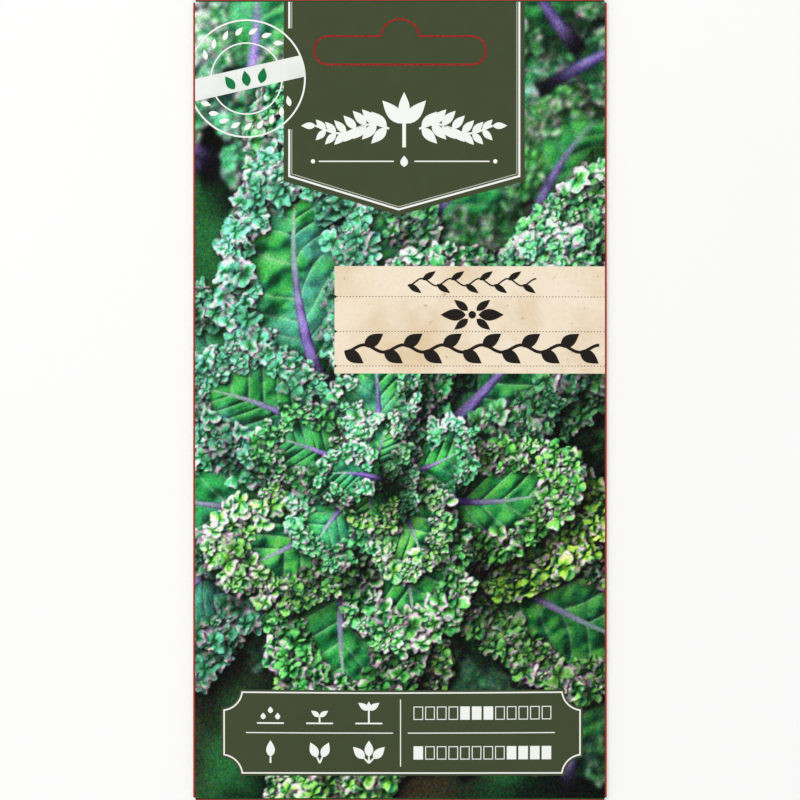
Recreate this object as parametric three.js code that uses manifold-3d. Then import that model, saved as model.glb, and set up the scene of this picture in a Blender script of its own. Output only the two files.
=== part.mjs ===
// Seed packet: one paper sheet folded into a flat sachet, glued shut, with a charge of seeds inside.
// Millimetres, +Z up. The packet lies on its back: the printed front faces +Z, the hang slot is at +Y.
import * as THREE from "three";
import { mergeVertices } from "three/addons/utils/BufferGeometryUtils.js";
import Module from "manifold-3d";

const wasm = await Module();
wasm.setup();

// Driving dimensions of the packet
const PACKET_WIDTH = 80;
const PACKET_HEIGHT = 155;
const PAPER = 0.2;
const GLUE_GAP = 0.1;
const PILLOW_RISE = 4.2;

// Flaps and the seam on the back
const SEAM_OVERLAP = 12;
const SEAM_RAMP = 3;
const TOP_FLAP = 20;
const BOTTOM_FLAP = 14;
const FLAP_SIDE_INSET = 0.5;
const FLAP_TAPER = 3;
const CORNER_RELIEF = 0.15;

// Die-cut hang slot: a long slot with a round bump on its upper side, its middle still held by nicks
const SLOT_LENGTH = 33.2;
const SLOT_DEPTH = 5.5;
const SLOT_BELOW_TOP = 9.95;
const BUMP_RADIUS = 3.8;
const BUMP_BELOW_TOP = 7.7;
const CUT_WIDTH = 0.3;
const NICK_WIDTH = 1.4;

// Seeds: about 2 mm across, lying one deep in the lower half of the pocket
const SEED_RADIUS = 1.1;
const SEED_SPACING = 1.7;
const SEED_PATCH = { x: 0, y: -34, halfWidth: 10, halfHeight: 7 };
const SEED_DRAW = 7;

// Dried adhesive
const GLUE_FILM = 0.06;
const GLUE_EDGE = 1.5;
const TOP_GLUE_HEIGHT = 4.5;

// How finely the sheet is divided
const FRONT_COLUMNS = 14;
const FRONT_ROWS = 22;
const WING_COLUMNS = 3;
const FLAP_ROWS = 2;
const FOLD_STEPS = 4;

// Levels of the paper's middle surface, counted up from the outermost flap
const LAYER = PAPER + GLUE_GAP;
const level = (n) => PAPER / 2 + n * LAYER;
const FLAP_Z = level(0);
const WING_Z = level(1);
const INNER_WING_Z = level(2);
const FRONT_Z = level(3);

// Fold circles: the wings turn about the sides, the flaps about the ends
const SIDE_FOLD = { radius: (FRONT_Z - WING_Z) / 2, z: (FRONT_Z + WING_Z) / 2 };
const END_FOLD = { radius: (FRONT_Z - FLAP_Z) / 2, z: (FRONT_Z + FLAP_Z) / 2 };
const SIDE_FOLD_X = PACKET_WIDTH / 2 - PAPER / 2 - SIDE_FOLD.radius;
const END_FOLD_Y = PACKET_HEIGHT / 2 - PAPER / 2 - END_FOLD.radius;
const WING_END_Y = END_FOLD_Y - CORNER_RELIEF;
const FLAP_HALF_WIDTH = PACKET_WIDTH / 2 - FLAP_SIDE_INSET;

// The pocket's puffed part reaches from the bottom fold up to the flat, glued header
const PILLOW_BOTTOM = -END_FOLD_Y;
const PILLOW_TOP = 52;
const PILLOW_LEAN = 0.82;

const PAPER_LOOK = new THREE.MeshStandardMaterial({ color: 0x4e7457, roughness: 0.55, metalness: 0 });
const SEED_LOOK = new THREE.MeshStandardMaterial({ color: 0x3a2a26, roughness: 0.6, metalness: 0 });
const GLUE_LOOK = new THREE.MeshStandardMaterial({ color: 0xe9e2cf, roughness: 0.35, metalness: 0 });

// Evenly spaced values from one end to the other, both included
function steps(from, to, count) {
  return Array.from({ length: count + 1 }, (_, i) => from + ((to - from) * i) / count);
}

// Smooth 0 to 1
const ease = (t) => THREE.MathUtils.smootherstep(t, 0, 1);

// Height of the front panel's middle surface: flat at the folds and header, puffed over the seeds
function frontHeight(x, y) {
  const across = Math.max(0, 1 - (x / SIDE_FOLD_X) ** 2) ** 1.4;
  const share = THREE.MathUtils.clamp((y - PILLOW_BOTTOM) / (PILLOW_TOP - PILLOW_BOTTOM), 0, 1);
  const along = Math.sin(Math.PI * share ** PILLOW_LEAN) ** 1.5;
  return FRONT_Z + PILLOW_RISE * across * along;
}

// Columns of the blank from the left wing's free edge, round the left fold, over the front to the right wing.
// Each column gives its place across the packet and its height; flat columns have no height of their own.
function blankColumns() {
  const seam = SEAM_OVERLAP / 2;
  const turn = steps(0, Math.PI, FOLD_STEPS);
  const left = [
    { x: seam, z: INNER_WING_Z },
    { x: -seam - 0.5, z: INNER_WING_Z },
    { x: -seam - 0.5 - SEAM_RAMP, z: WING_Z },
    ...steps(-seam - 0.5 - SEAM_RAMP, -SIDE_FOLD_X, WING_COLUMNS).slice(1, -1).map((x) => ({ x, z: WING_Z })),
    ...turn.slice(0, -1).map((a) => ({
      x: -SIDE_FOLD_X - SIDE_FOLD.radius * Math.sin(a),
      z: SIDE_FOLD.z - SIDE_FOLD.radius * Math.cos(a),
    })),
  ];
  const inner = steps(-FLAP_HALF_WIDTH, FLAP_HALF_WIDTH, FRONT_COLUMNS).map((x) => ({ x, front: true, flap: true }));
  const front = [{ x: -SIDE_FOLD_X, front: true }, ...inner, { x: SIDE_FOLD_X, front: true }];
  const right = [
    ...turn.slice(1).map((a) => ({
      x: SIDE_FOLD_X + SIDE_FOLD.radius * Math.sin(a),
      z: SIDE_FOLD.z + SIDE_FOLD.radius * Math.cos(a),
    })),
    ...steps(SIDE_FOLD_X, -seam, WING_COLUMNS + 1).slice(1).map((x) => ({ x, z: WING_Z })),
  ];
  return [...left, ...front, ...right];
}

// Rows of the blank from the top flap's free edge, round the top fold, down the front to the bottom flap.
function blankRows() {
  const turn = steps(0, Math.PI, FOLD_STEPS);
  const flapRows = (side, height) => {
    const free = side * (PACKET_HEIGHT / 2 - height);
    const flat = steps(free, side * END_FOLD_Y, FLAP_ROWS).slice(0, -1);
    return [
      ...flat.map((y) => ({ y, z: FLAP_Z, narrow: (side * END_FOLD_Y - y) / (side * END_FOLD_Y - free) })),
      ...turn.slice(0, -1).map((a) => ({
        y: side * (END_FOLD_Y + END_FOLD.radius * Math.sin(a)),
        z: END_FOLD.z - END_FOLD.radius * Math.cos(a),
        narrow: 0,
      })),
    ];
  };
  const front = [
    { y: END_FOLD_Y, front: true },
    ...steps(WING_END_Y, -WING_END_Y, FRONT_ROWS).map((y) => ({ y, front: true, wings: true })),
    { y: -END_FOLD_Y, front: true },
  ];
  return [...flapRows(1, TOP_FLAP), ...front, ...flapRows(-1, BOTTOM_FLAP).reverse()];
}

// A point of the folded sheet's middle surface
function foldedPoint(column, row) {
  if (row.front) return new THREE.Vector3(column.x, row.y, column.front ? frontHeight(column.x, row.y) : column.z);
  const squeeze = 1 - (FLAP_TAPER / FLAP_HALF_WIDTH) * row.narrow;
  return new THREE.Vector3(column.x * squeeze, row.y, row.z);
}

// Whether a cell of the grid, between two columns and two rows, is paper in the blank's outline
function isPaper([c0, c1], [r0, r1]) {
  if (!r0.front || !r1.front) return Boolean(c0.flap && c1.flap);
  if (!r0.wings || !r1.wings) return Boolean(c0.front && c1.front);
  return true;
}

// The folded sheet's middle surface: a flat grid with the blank's outline, each corner moved to its folded place
function foldedSurface() {
  const columns = blankColumns();
  const rows = blankRows();
  const across = columns.length;
  const grid = new THREE.PlaneGeometry(1, 1, across - 1, rows.length - 1);
  const position = grid.getAttribute("position");
  rows.forEach((row, j) =>
    columns.forEach((column, i) => {
      const p = foldedPoint(column, row);
      position.setXYZ(j * across + i, p.x, p.y, p.z);
    }),
  );
  const kept = [];
  const index = grid.getIndex().array;
  for (let cell = 0; cell * 6 < index.length; cell++) {
    const i = cell % (across - 1);
    const j = Math.floor(cell / (across - 1));
    if (isPaper(columns.slice(i, i + 2), rows.slice(j, j + 2))) kept.push(...index.slice(cell * 6, cell * 6 + 6));
  }
  grid.setIndex(kept);
  grid.computeVertexNormals();
  return grid;
}

// A closed sheet of even thickness about an open surface: two faces, and a wall along every free edge
function thickened(surface, thickness) {
  const position = surface.getAttribute("position");
  const normal = surface.getAttribute("normal");
  const index = [...surface.getIndex().array];
  const corners = position.count;
  const points = new Float32Array(corners * 6);
  const p = new THREE.Vector3();
  const n = new THREE.Vector3();
  for (let i = 0; i < corners; i++) {
    p.fromBufferAttribute(position, i);
    n.fromBufferAttribute(normal, i);
    p.clone().addScaledVector(n, thickness / 2).toArray(points, i * 3);
    p.clone().addScaledVector(n, -thickness / 2).toArray(points, (corners + i) * 3);
  }
  const edges = new Map();
  const faces = [];
  for (let f = 0; f < index.length; f += 3) {
    const [a, b, c] = index.slice(f, f + 3);
    faces.push(a, b, c, corners + a, corners + c, corners + b);
    for (const [from, to] of [[a, b], [b, c], [c, a]]) {
      if (!edges.delete(`${to},${from}`)) edges.set(`${from},${to}`, [from, to]);
    }
  }
  for (const [from, to] of edges.values()) {
    faces.push(from, corners + from, corners + to, from, corners + to, to);
  }
  return new THREE.BufferGeometry().setAttribute("position", new THREE.BufferAttribute(points, 3)).setIndex(faces);
}

// A closed geometry as a solid that can be joined and cut
function solidOf(geometry) {
  const bare = geometry.clone();
  bare.deleteAttribute("normal");
  bare.deleteAttribute("uv");
  const merged = mergeVertices(bare, 1e-4);
  return new wasm.Manifold(
    new wasm.Mesh({
      numProp: 3,
      vertProperties: merged.getAttribute("position").array,
      triVerts: new Uint32Array(merged.getIndex().array),
    }),
  );
}

function geometryOf(solid) {
  const { numProp, numVert, vertProperties, triVerts } = solid.getMesh();
  const points = new Float32Array(numVert * 3);
  for (let i = 0; i < numVert; i++) points.set(vertProperties.subarray(i * numProp, i * numProp + 3), i * 3);
  return new THREE.BufferGeometry()
    .setAttribute("position", new THREE.BufferAttribute(points, 3))
    .setIndex(new THREE.BufferAttribute(new Uint32Array(triVerts), 1));
}

// Outline of the hang slot, made larger or smaller by an even margin
function slotOutline(margin) {
  const middle = PACKET_HEIGHT / 2 - SLOT_BELOW_TOP;
  const bumpY = PACKET_HEIGHT / 2 - BUMP_BELOW_TOP;
  const end = (SLOT_LENGTH - SLOT_DEPTH) / 2;
  const endRadius = SLOT_DEPTH / 2 + margin;
  const bumpRadius = BUMP_RADIUS + margin;
  const rise = Math.asin((middle + endRadius - bumpY) / bumpRadius);
  return new THREE.Shape()
    .absarc(end, middle, endRadius, -Math.PI / 2, Math.PI / 2)
    .absarc(0, bumpY, bumpRadius, rise, Math.PI - rise)
    .absarc(-end, middle, endRadius, Math.PI / 2, (3 * Math.PI) / 2)
    .closePath();
}

// The knife line round the slot, interrupted by nicks at both ends and under the middle
function slotCut() {
  const depth = 4;
  const prism = (margin) =>
    solidOf(new THREE.ExtrudeGeometry(slotOutline(margin), { depth, bevelEnabled: false, curveSegments: 6 }));
  const middle = PACKET_HEIGHT / 2 - SLOT_BELOW_TOP;
  const nickAt = (x, y, width, height) => solidOf(new THREE.BoxGeometry(width, height, depth * 3).translate(x, y, 0));
  return prism(CUT_WIDTH / 2)
    .subtract(prism(-CUT_WIDTH / 2))
    .subtract(nickAt(-SLOT_LENGTH / 2, middle, NICK_WIDTH, NICK_WIDTH))
    .subtract(nickAt(SLOT_LENGTH / 2, middle, NICK_WIDTH, NICK_WIDTH))
    .subtract(nickAt(0, middle - SLOT_DEPTH / 2, NICK_WIDTH, NICK_WIDTH))
    .translate([0, 0, -depth / 4]);
}

function paperSheet() {
  const sheet = solidOf(thickened(foldedSurface(), PAPER));
  return geometryOf(sheet.subtract(slotCut()));
}

// A small repeatable source of numbers from 0 to 1
function seededRandom(seed) {
  let state = seed;
  return () => {
    state = (state + 0x6d2b79f5) | 0;
    let t = Math.imul(state ^ (state >>> 15), 1 | state);
    t = (t + Math.imul(t ^ (t >>> 7), 61 | t)) ^ t;
    return ((t ^ (t >>> 14)) >>> 0) / 4294967296;
  };
}

// Seeds settled in close rows over an oval patch, each turned its own way and touching its neighbours
function seedHeap() {
  const random = seededRandom(SEED_DRAW);
  const floor = INNER_WING_Z + PAPER / 2 + GLUE_GAP;
  const { x: midX, y: midY, halfWidth, halfHeight } = SEED_PATCH;
  const rowPitch = SEED_SPACING * Math.sqrt(0.75);
  const rows = Math.floor(halfHeight / rowPitch);
  const seeds = [];
  for (let row = -rows; row <= rows; row++) {
    const y = row * rowPitch;
    const reach = halfWidth * Math.sqrt(1 - (y / halfHeight) ** 2);
    const shift = row % 2 ? SEED_SPACING / 2 : 0;
    for (let x = -halfWidth + shift; x <= halfWidth; x += SEED_SPACING) {
      if (Math.abs(x) > reach) continue;
      const turn = new THREE.Euler(random() * Math.PI, random() * Math.PI, random() * Math.PI);
      const seed = new THREE.IcosahedronGeometry(SEED_RADIUS, 0)
        .applyMatrix4(new THREE.Matrix4().makeRotationFromEuler(turn))
        .translate(midX + x, midY + y, floor + SEED_RADIUS);
      seeds.push(solidOf(seed));
    }
  }
  return geometryOf(wasm.Manifold.union(seeds));
}

// A film of dried adhesive lying in the gap above a layer of paper
function glueFilm(width, height, paperZ) {
  return new THREE.BoxGeometry(width, height, GLUE_FILM).translate(0, 0, paperZ + LAYER / 2);
}

function named(name, geometry, look) {
  const mesh = new THREE.Mesh(geometry, look);
  mesh.name = name;
  return mesh;
}

const packet = new THREE.Group();
packet.add(named("paper_sheet", paperSheet(), PAPER_LOOK));
packet.add(named("seed_heap", seedHeap(), SEED_LOOK));

const glueSeam = named(
  "glue_back_seam",
  glueFilm(SEAM_OVERLAP - 2 * GLUE_EDGE, 2 * WING_END_Y - 2 * TOP_FLAP, WING_Z),
  GLUE_LOOK,
);
const flapGlueWidth = 2 * (FLAP_HALF_WIDTH - FLAP_TAPER - GLUE_EDGE);
const bottomGlueHeight = BOTTOM_FLAP - 3 * GLUE_EDGE;
const glueBottom = named("glue_bottom_flap", glueFilm(flapGlueWidth, bottomGlueHeight, FLAP_Z), GLUE_LOOK);
glueBottom.position.y = -PACKET_HEIGHT / 2 + BOTTOM_FLAP - GLUE_EDGE - bottomGlueHeight / 2;
const glueTop = named("glue_top_flap", glueFilm(flapGlueWidth, TOP_GLUE_HEIGHT, FLAP_Z), GLUE_LOOK);
glueTop.position.y = PACKET_HEIGHT / 2 - TOP_FLAP + GLUE_EDGE + TOP_GLUE_HEIGHT / 2;
packet.add(glueSeam, glueBottom, glueTop);

export default packet;
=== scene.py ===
"""Seed packet: one printed sheet of paper folded into a sachet, with its glue and its seeds.

The packet lies on its back with the print up and the hang slot towards +Y. Sizes in this script are
millimetres, and each mesh is scaled to metres when it is finished.
"""

from __future__ import annotations

import logging
import math
from dataclasses import dataclass, field
from enum import Enum
from typing import Iterable, Mapping, Sequence

import bmesh
import bpy
import numpy as np
from mathutils import Matrix, Vector


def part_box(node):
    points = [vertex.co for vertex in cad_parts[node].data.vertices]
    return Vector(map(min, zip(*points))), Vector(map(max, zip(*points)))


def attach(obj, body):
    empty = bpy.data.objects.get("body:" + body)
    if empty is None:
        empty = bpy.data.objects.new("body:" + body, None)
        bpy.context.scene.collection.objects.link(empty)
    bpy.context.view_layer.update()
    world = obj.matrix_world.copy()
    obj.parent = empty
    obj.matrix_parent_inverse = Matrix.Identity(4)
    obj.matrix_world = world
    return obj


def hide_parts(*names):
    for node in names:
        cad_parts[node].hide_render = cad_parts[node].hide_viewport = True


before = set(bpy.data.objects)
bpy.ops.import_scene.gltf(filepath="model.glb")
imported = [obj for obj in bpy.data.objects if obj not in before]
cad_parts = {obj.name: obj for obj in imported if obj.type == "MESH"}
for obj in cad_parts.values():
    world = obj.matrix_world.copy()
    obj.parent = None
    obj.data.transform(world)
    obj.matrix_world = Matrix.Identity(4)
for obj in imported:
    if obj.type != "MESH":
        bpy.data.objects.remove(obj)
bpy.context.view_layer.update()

LOG = logging.getLogger("seed_packet")
MM = 0.001
ROOT = "root"
PAINT = "paint"
BAKE_MAP = "OFBake"

# Films of ink: their margin at the folds, the step between overlapping fills, how many such steps there
# are, and how far the picture runs on under flat print.
FILM_MARGIN = 0.02
FILL_STEP = 0.002
FILL_STEPS = 6
UNDERLAP = 0.5

# Roughness of a satin ink film.
SATIN = 0.48

# Months of sowing and of harvest, counted from 1.
MONTHS = 12
SOWING = (5, 6, 7)
HARVEST = (9, 10, 11, 12, 1)

Point = tuple[float, float]
Loop = Sequence[Point]
Window = tuple[slice, slice]


def linear(hex_colour: str) -> tuple[float, float, float, float]:
    """Turn an sRGB hex colour into linear RGBA.

    Args:
        hex_colour: Six hex digits after a hash.

    Returns:
        Linear red, green, blue and an alpha of 1.
    """
    red, green, blue = to_linear(tone(hex_colour)).tolist()
    return red, green, blue, 1.0


def to_linear(value: np.ndarray) -> np.ndarray:
    """Turn sRGB values from 0 to 1 into linear ones."""
    return np.where(value <= 0.04045, value / 12.92, ((value + 0.055) / 1.055) ** 2.4)


def tone(hex_colour: str) -> np.ndarray:
    """An sRGB hex colour as an array of three values from 0 to 1, for mixing by eye."""
    return np.array([int(hex_colour[i : i + 2], 16) / 255 for i in (1, 3, 5)], np.float32)


def mixed(first: np.ndarray, second: np.ndarray, share: np.ndarray) -> np.ndarray:
    """Mix two colours, or two grids of colours, by a grid of shares from 0 to 1."""
    return first + (second - first) * np.clip(share, 0, 1)[..., None]


def ramp(value: np.ndarray, low: float, high: float) -> np.ndarray:
    """Smooth 0 to 1 as a value goes from low to high."""
    t = np.clip((value - low) / (high - low), 0, 1)
    return t * t * (3 - 2 * t)


def per_metre(size: float) -> float:
    """Texture scale on Object coordinates, in metres, for features of a size in millimetres."""
    return 1 / (size * MM)


def add_node(
    tree: bpy.types.NodeTree,
    kind: str,
    links: Mapping[str | int, object] | None = None,
    **settings: object,
) -> bpy.types.Node:
    """Add a shader node.

    Args:
        tree: The material's node tree.
        kind: The node's type name.
        links: For each input, the output socket that feeds it or the value that it holds.
        **settings: The node's own settings.

    Returns:
        The new node.
    """
    node = tree.nodes.new(kind)
    for name, value in settings.items():
        setattr(node, name, value)
    for key, value in (links or {}).items():
        if isinstance(value, bpy.types.NodeSocket):
            tree.links.new(value, node.inputs[key])
        else:
            node.inputs[key].default_value = value
    return node


@dataclass(frozen=True)
class Finish:
    """A surface finish: what every material of the packet shares.

    Attributes:
        name: The material's name.
        hex_colour: Its main colour.
        second: The colour that its mottling drifts to.
        blotch: Size of the mottling.
        roughness: Principled roughness.
        ior: Refractive index of the surface film.
        sheen: How strongly the film mirrors its surroundings.
        grain: Size of the surface relief.
        relief: Height of the surface relief.
    """

    name: str
    hex_colour: str
    second: str
    blotch: float = 6.0
    roughness: float = 0.5
    ior: float = 1.45
    sheen: float = 0.06
    grain: float = 0.35
    relief: float = 0.004

    def material(self) -> bpy.types.Material:
        """Make the material with its colour and its relief."""
        material = bpy.data.materials.new(self.name)
        material.use_nodes = True
        tree = material.node_tree
        tree.nodes.clear()
        place = add_node(tree, "ShaderNodeTexCoord").outputs["Object"]
        fibre = add_node(
            tree, "ShaderNodeTexNoise", {"Vector": place, "Scale": per_metre(self.grain), "Detail": 3.0}
        )
        bump = add_node(
            tree,
            "ShaderNodeBump",
            {"Height": fibre.outputs["Fac"], "Distance": self.relief * MM, "Strength": 0.6},
        )
        shader = add_node(
            tree,
            "ShaderNodeBsdfPrincipled",
            {
                "Base Color": self.colour(tree, place),
                "Roughness": self.roughness,
                "IOR": self.ior,
                "Specular IOR Level": self.sheen,
                "Normal": bump.outputs["Normal"],
            },
        )
        add_node(tree, "ShaderNodeOutputMaterial", {"Surface": shader.outputs["BSDF"]})
        return material

    def colour(self, tree: bpy.types.NodeTree, place: bpy.types.NodeSocket) -> bpy.types.NodeSocket:
        """Colour of the surface: two close tones in soft blotches.

        Args:
            tree: The material's node tree.
            place: Object coordinates.

        Returns:
            The colour output.
        """
        cloud = add_node(
            tree, "ShaderNodeTexNoise", {"Vector": place, "Scale": per_metre(self.blotch), "Detail": 4.0}
        )
        return blend_nodes(tree, cloud.outputs["Fac"], linear(self.hex_colour), linear(self.second))


def blend_nodes(
    tree: bpy.types.NodeTree, share: object, first: object, second: object, blend_type: str = "MIX"
) -> bpy.types.NodeSocket:
    """Blend two colours in a node tree.

    Args:
        tree: The material's node tree.
        share: How much of the second colour shows.
        first: The colour below.
        second: The colour above.
        blend_type: How they are blended.

    Returns:
        The blended colour.
    """
    blend = add_node(
        tree, "ShaderNodeMix", {0: share, 6: first, 7: second}, data_type="RGBA", blend_type=blend_type
    )
    return blend.outputs[2]


@dataclass(frozen=True)
class PrintedSheet(Finish):
    """Coated paper printed by offset: satin ink film, a dark leafy ground in front, plain tints behind.

    Attributes:
        half_width: Half the packet's width.
        half_height: Half the packet's height.
        front_level: Height above which the sheet is the front.
        flap_level: Height below which the sheet is a flap.
        trim: Width of the red trim line along the edges.
        trim_level: Height above which the trim line is printed.
        soil: Brown patches in the front's ground.
        soil_patch: Their size.
        back_tints: The two creams of the back.
        back_cloud: Size of their clouds.
    """

    half_width: float = 40.0
    half_height: float = 77.5
    front_level: float = 0.85
    flap_level: float = 0.24
    trim: float = 0.34
    trim_level: float = 0.85
    soil: str = "#2e2a1c"
    soil_patch: float = 17.0
    back_tints: tuple[str, str] = ("#f1e7d3", "#e6d8bd")
    back_cloud: float = 9.0

    def colour(self, tree: bpy.types.NodeTree, place: bpy.types.NodeSocket) -> bpy.types.NodeSocket:
        """Dark ground of the picture in front, cream back, green flaps, red trim line on the edges.

        Args:
            tree: The material's node tree.
            place: Object coordinates.

        Returns:
            The colour output.
        """
        ground = super().colour(tree, place)
        soil = add_node(
            tree, "ShaderNodeTexNoise", {"Vector": place, "Scale": per_metre(self.soil_patch), "Detail": 2.0}
        )
        patch = add_node(tree, "ShaderNodeMapRange", {0: soil.outputs["Fac"], 1: 0.52, 2: 0.68})
        ground = blend_nodes(tree, patch.outputs[0], ground, linear(self.soil))
        axes = add_node(tree, "ShaderNodeSeparateXYZ", {0: place})
        across, along, up = (axes.outputs[i] for i in range(3))
        is_front = add_node(
            tree, "ShaderNodeMath", {0: up, 1: self.front_level * MM}, operation="GREATER_THAN"
        )
        is_flap = add_node(tree, "ShaderNodeMath", {0: up, 1: self.flap_level * MM}, operation="LESS_THAN")
        cloud = add_node(
            tree, "ShaderNodeTexNoise", {"Vector": place, "Scale": per_metre(self.back_cloud), "Detail": 5.0}
        )
        back = blend_nodes(tree, cloud.outputs["Fac"], *(linear(tint) for tint in self.back_tints))
        back = blend_nodes(tree, is_flap.outputs[0], back, linear(Ink.FOREST.full))
        sides = blend_nodes(tree, is_front.outputs[0], back, ground)
        edges = []
        for axis, half in ((across, self.half_width), (along, self.half_height)):
            reach = add_node(tree, "ShaderNodeMath", {0: axis}, operation="ABSOLUTE")
            edges.append(
                add_node(
                    tree,
                    "ShaderNodeMath",
                    {0: reach.outputs[0], 1: (half - self.trim) * MM},
                    operation="GREATER_THAN",
                ).outputs[0]
            )
        either = add_node(tree, "ShaderNodeMath", {0: edges[0], 1: edges[1]}, operation="MAXIMUM")
        shows = add_node(tree, "ShaderNodeMath", {0: up, 1: self.trim_level * MM}, operation="GREATER_THAN")
        trim = add_node(
            tree, "ShaderNodeMath", {0: either.outputs[0], 1: shows.outputs[0]}, operation="MULTIPLY"
        )
        return blend_nodes(tree, trim.outputs[0], sides, linear(Ink.CUT_LINE.full))


@dataclass(frozen=True)
class PictureInk(Finish):
    """Full-colour offset print of the leaves: the colour is painted on the mesh, with a fine screen grain."""

    def colour(self, tree: bpy.types.NodeTree, place: bpy.types.NodeSocket) -> bpy.types.NodeSocket:
        """The painted colour, broken up by print grain.

        Args:
            tree: The material's node tree.
            place: Object coordinates.

        Returns:
            The colour output.
        """
        paint = add_node(tree, "ShaderNodeAttribute", attribute_name=PAINT)
        grain = add_node(
            tree, "ShaderNodeTexNoise", {"Vector": place, "Scale": per_metre(self.blotch), "Detail": 2.0}
        )
        level = add_node(
            tree, "ShaderNodeMapRange", {0: grain.outputs["Fac"], 1: 0.25, 2: 0.75, 3: 0.72, 4: 1.26}
        )
        return blend_nodes(tree, 1.0, paint.outputs["Color"], level.outputs[0], "MULTIPLY")


@dataclass(frozen=True)
class AgedLabel(Finish):
    """Print of an old paper label: cream with soft stains and small brown specks.

    Attributes:
        speck: Size of the specks.
        speck_tint: Their brown.
        stain: Size of the stains.
        stain_tint: Their tan.
        fibre: Size of the paper's fibres.
    """

    speck: float = 1.1
    speck_tint: str = "#b08a5c"
    stain: float = 11.0
    stain_tint: str = "#dcbf94"
    fibre: float = 0.7

    def colour(self, tree: bpy.types.NodeTree, place: bpy.types.NodeSocket) -> bpy.types.NodeSocket:
        """Cream blotches, tan stains, fine fibre and scattered specks.

        Args:
            tree: The material's node tree.
            place: Object coordinates.

        Returns:
            The colour output.
        """
        cream = super().colour(tree, place)
        cloud = add_node(
            tree, "ShaderNodeTexNoise", {"Vector": place, "Scale": per_metre(self.stain), "Detail": 6.0}
        )
        tan = add_node(
            tree, "ShaderNodeMapRange", {0: cloud.outputs["Fac"], 1: 0.45, 2: 0.72, 3: 0.0, 4: 0.75}
        )
        cream = blend_nodes(tree, tan.outputs[0], cream, linear(self.stain_tint))
        fibre = add_node(
            tree, "ShaderNodeTexNoise", {"Vector": place, "Scale": per_metre(self.fibre), "Detail": 3.0}
        )
        light = add_node(
            tree, "ShaderNodeMapRange", {0: fibre.outputs["Fac"], 1: 0.3, 2: 0.7, 3: 0.97, 4: 1.03}
        )
        cream = blend_nodes(tree, 1.0, cream, light.outputs[0], "MULTIPLY")
        spots = add_node(
            tree, "ShaderNodeTexNoise", {"Vector": place, "Scale": per_metre(self.speck), "Detail": 5.0}
        )
        rare = add_node(
            tree, "ShaderNodeMapRange", {0: spots.outputs["Fac"], 1: 0.66, 2: 0.74, 3: 0.0, 4: 0.6}
        )
        return blend_nodes(tree, rare.outputs[0], cream, linear(self.speck_tint))


class Ink(Enum):
    """Inks of the flat print: the full tone and the tone that a thinner film drifts to, as sRGB."""

    FOREST = ("#404a2f", "#474f37")
    WHITE = ("#fafbf7", "#f2f4ee")
    VEIL = ("#fdfefb", "#d9e2d8")
    HAIRLINE = ("#bdc1b3", "#adb2a3")
    CREAM = ("#f9eddb", "#efdcbd")
    BLACK = ("#1b1815", "#2a2521")
    LEAF = ("#12703b", "#1d8149")
    CUT_LINE = ("#b81b1e", "#a3191c")

    @property
    def full(self) -> str:
        """Tone of the full film."""
        return self.value[0]

    @property
    def thin(self) -> str:
        """Tone of the thinner film."""
        return self.value[1]


def finished(name: str, bm: bmesh.types.BMesh, materials: Sequence[bpy.types.Material]) -> bpy.types.Object:
    """Make an object of a bmesh that is in millimetres.

    Args:
        name: The piece's name.
        bm: Its mesh, which is freed.
        materials: Its material slots in order.

    Returns:
        The new object, in metres, at the origin.
    """
    bmesh.ops.scale(bm, vec=Vector((MM, MM, MM)), verts=bm.verts)
    mesh = bpy.data.meshes.new(name)
    bm.to_mesh(mesh)
    bm.free()
    for material in materials:
        mesh.materials.append(material)
    piece = bpy.data.objects.new(name, mesh)
    bpy.context.scene.collection.objects.link(piece)
    return piece


def placed(piece: bpy.types.Object, slot: str, *nodes: str) -> bpy.types.Object:
    """Put a piece on the packet's body and hide the CAD nodes that it stands for.

    Args:
        piece: The finished piece.
        slot: The record's material slot; not used.
        *nodes: Nodes that it replaces.

    Returns:
        The same piece.
    """
    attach(piece, ROOT)
    if nodes:
        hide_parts(*nodes)
    LOG.info("%s: %d faces", piece.name, len(piece.data.polygons))
    return piece


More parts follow.
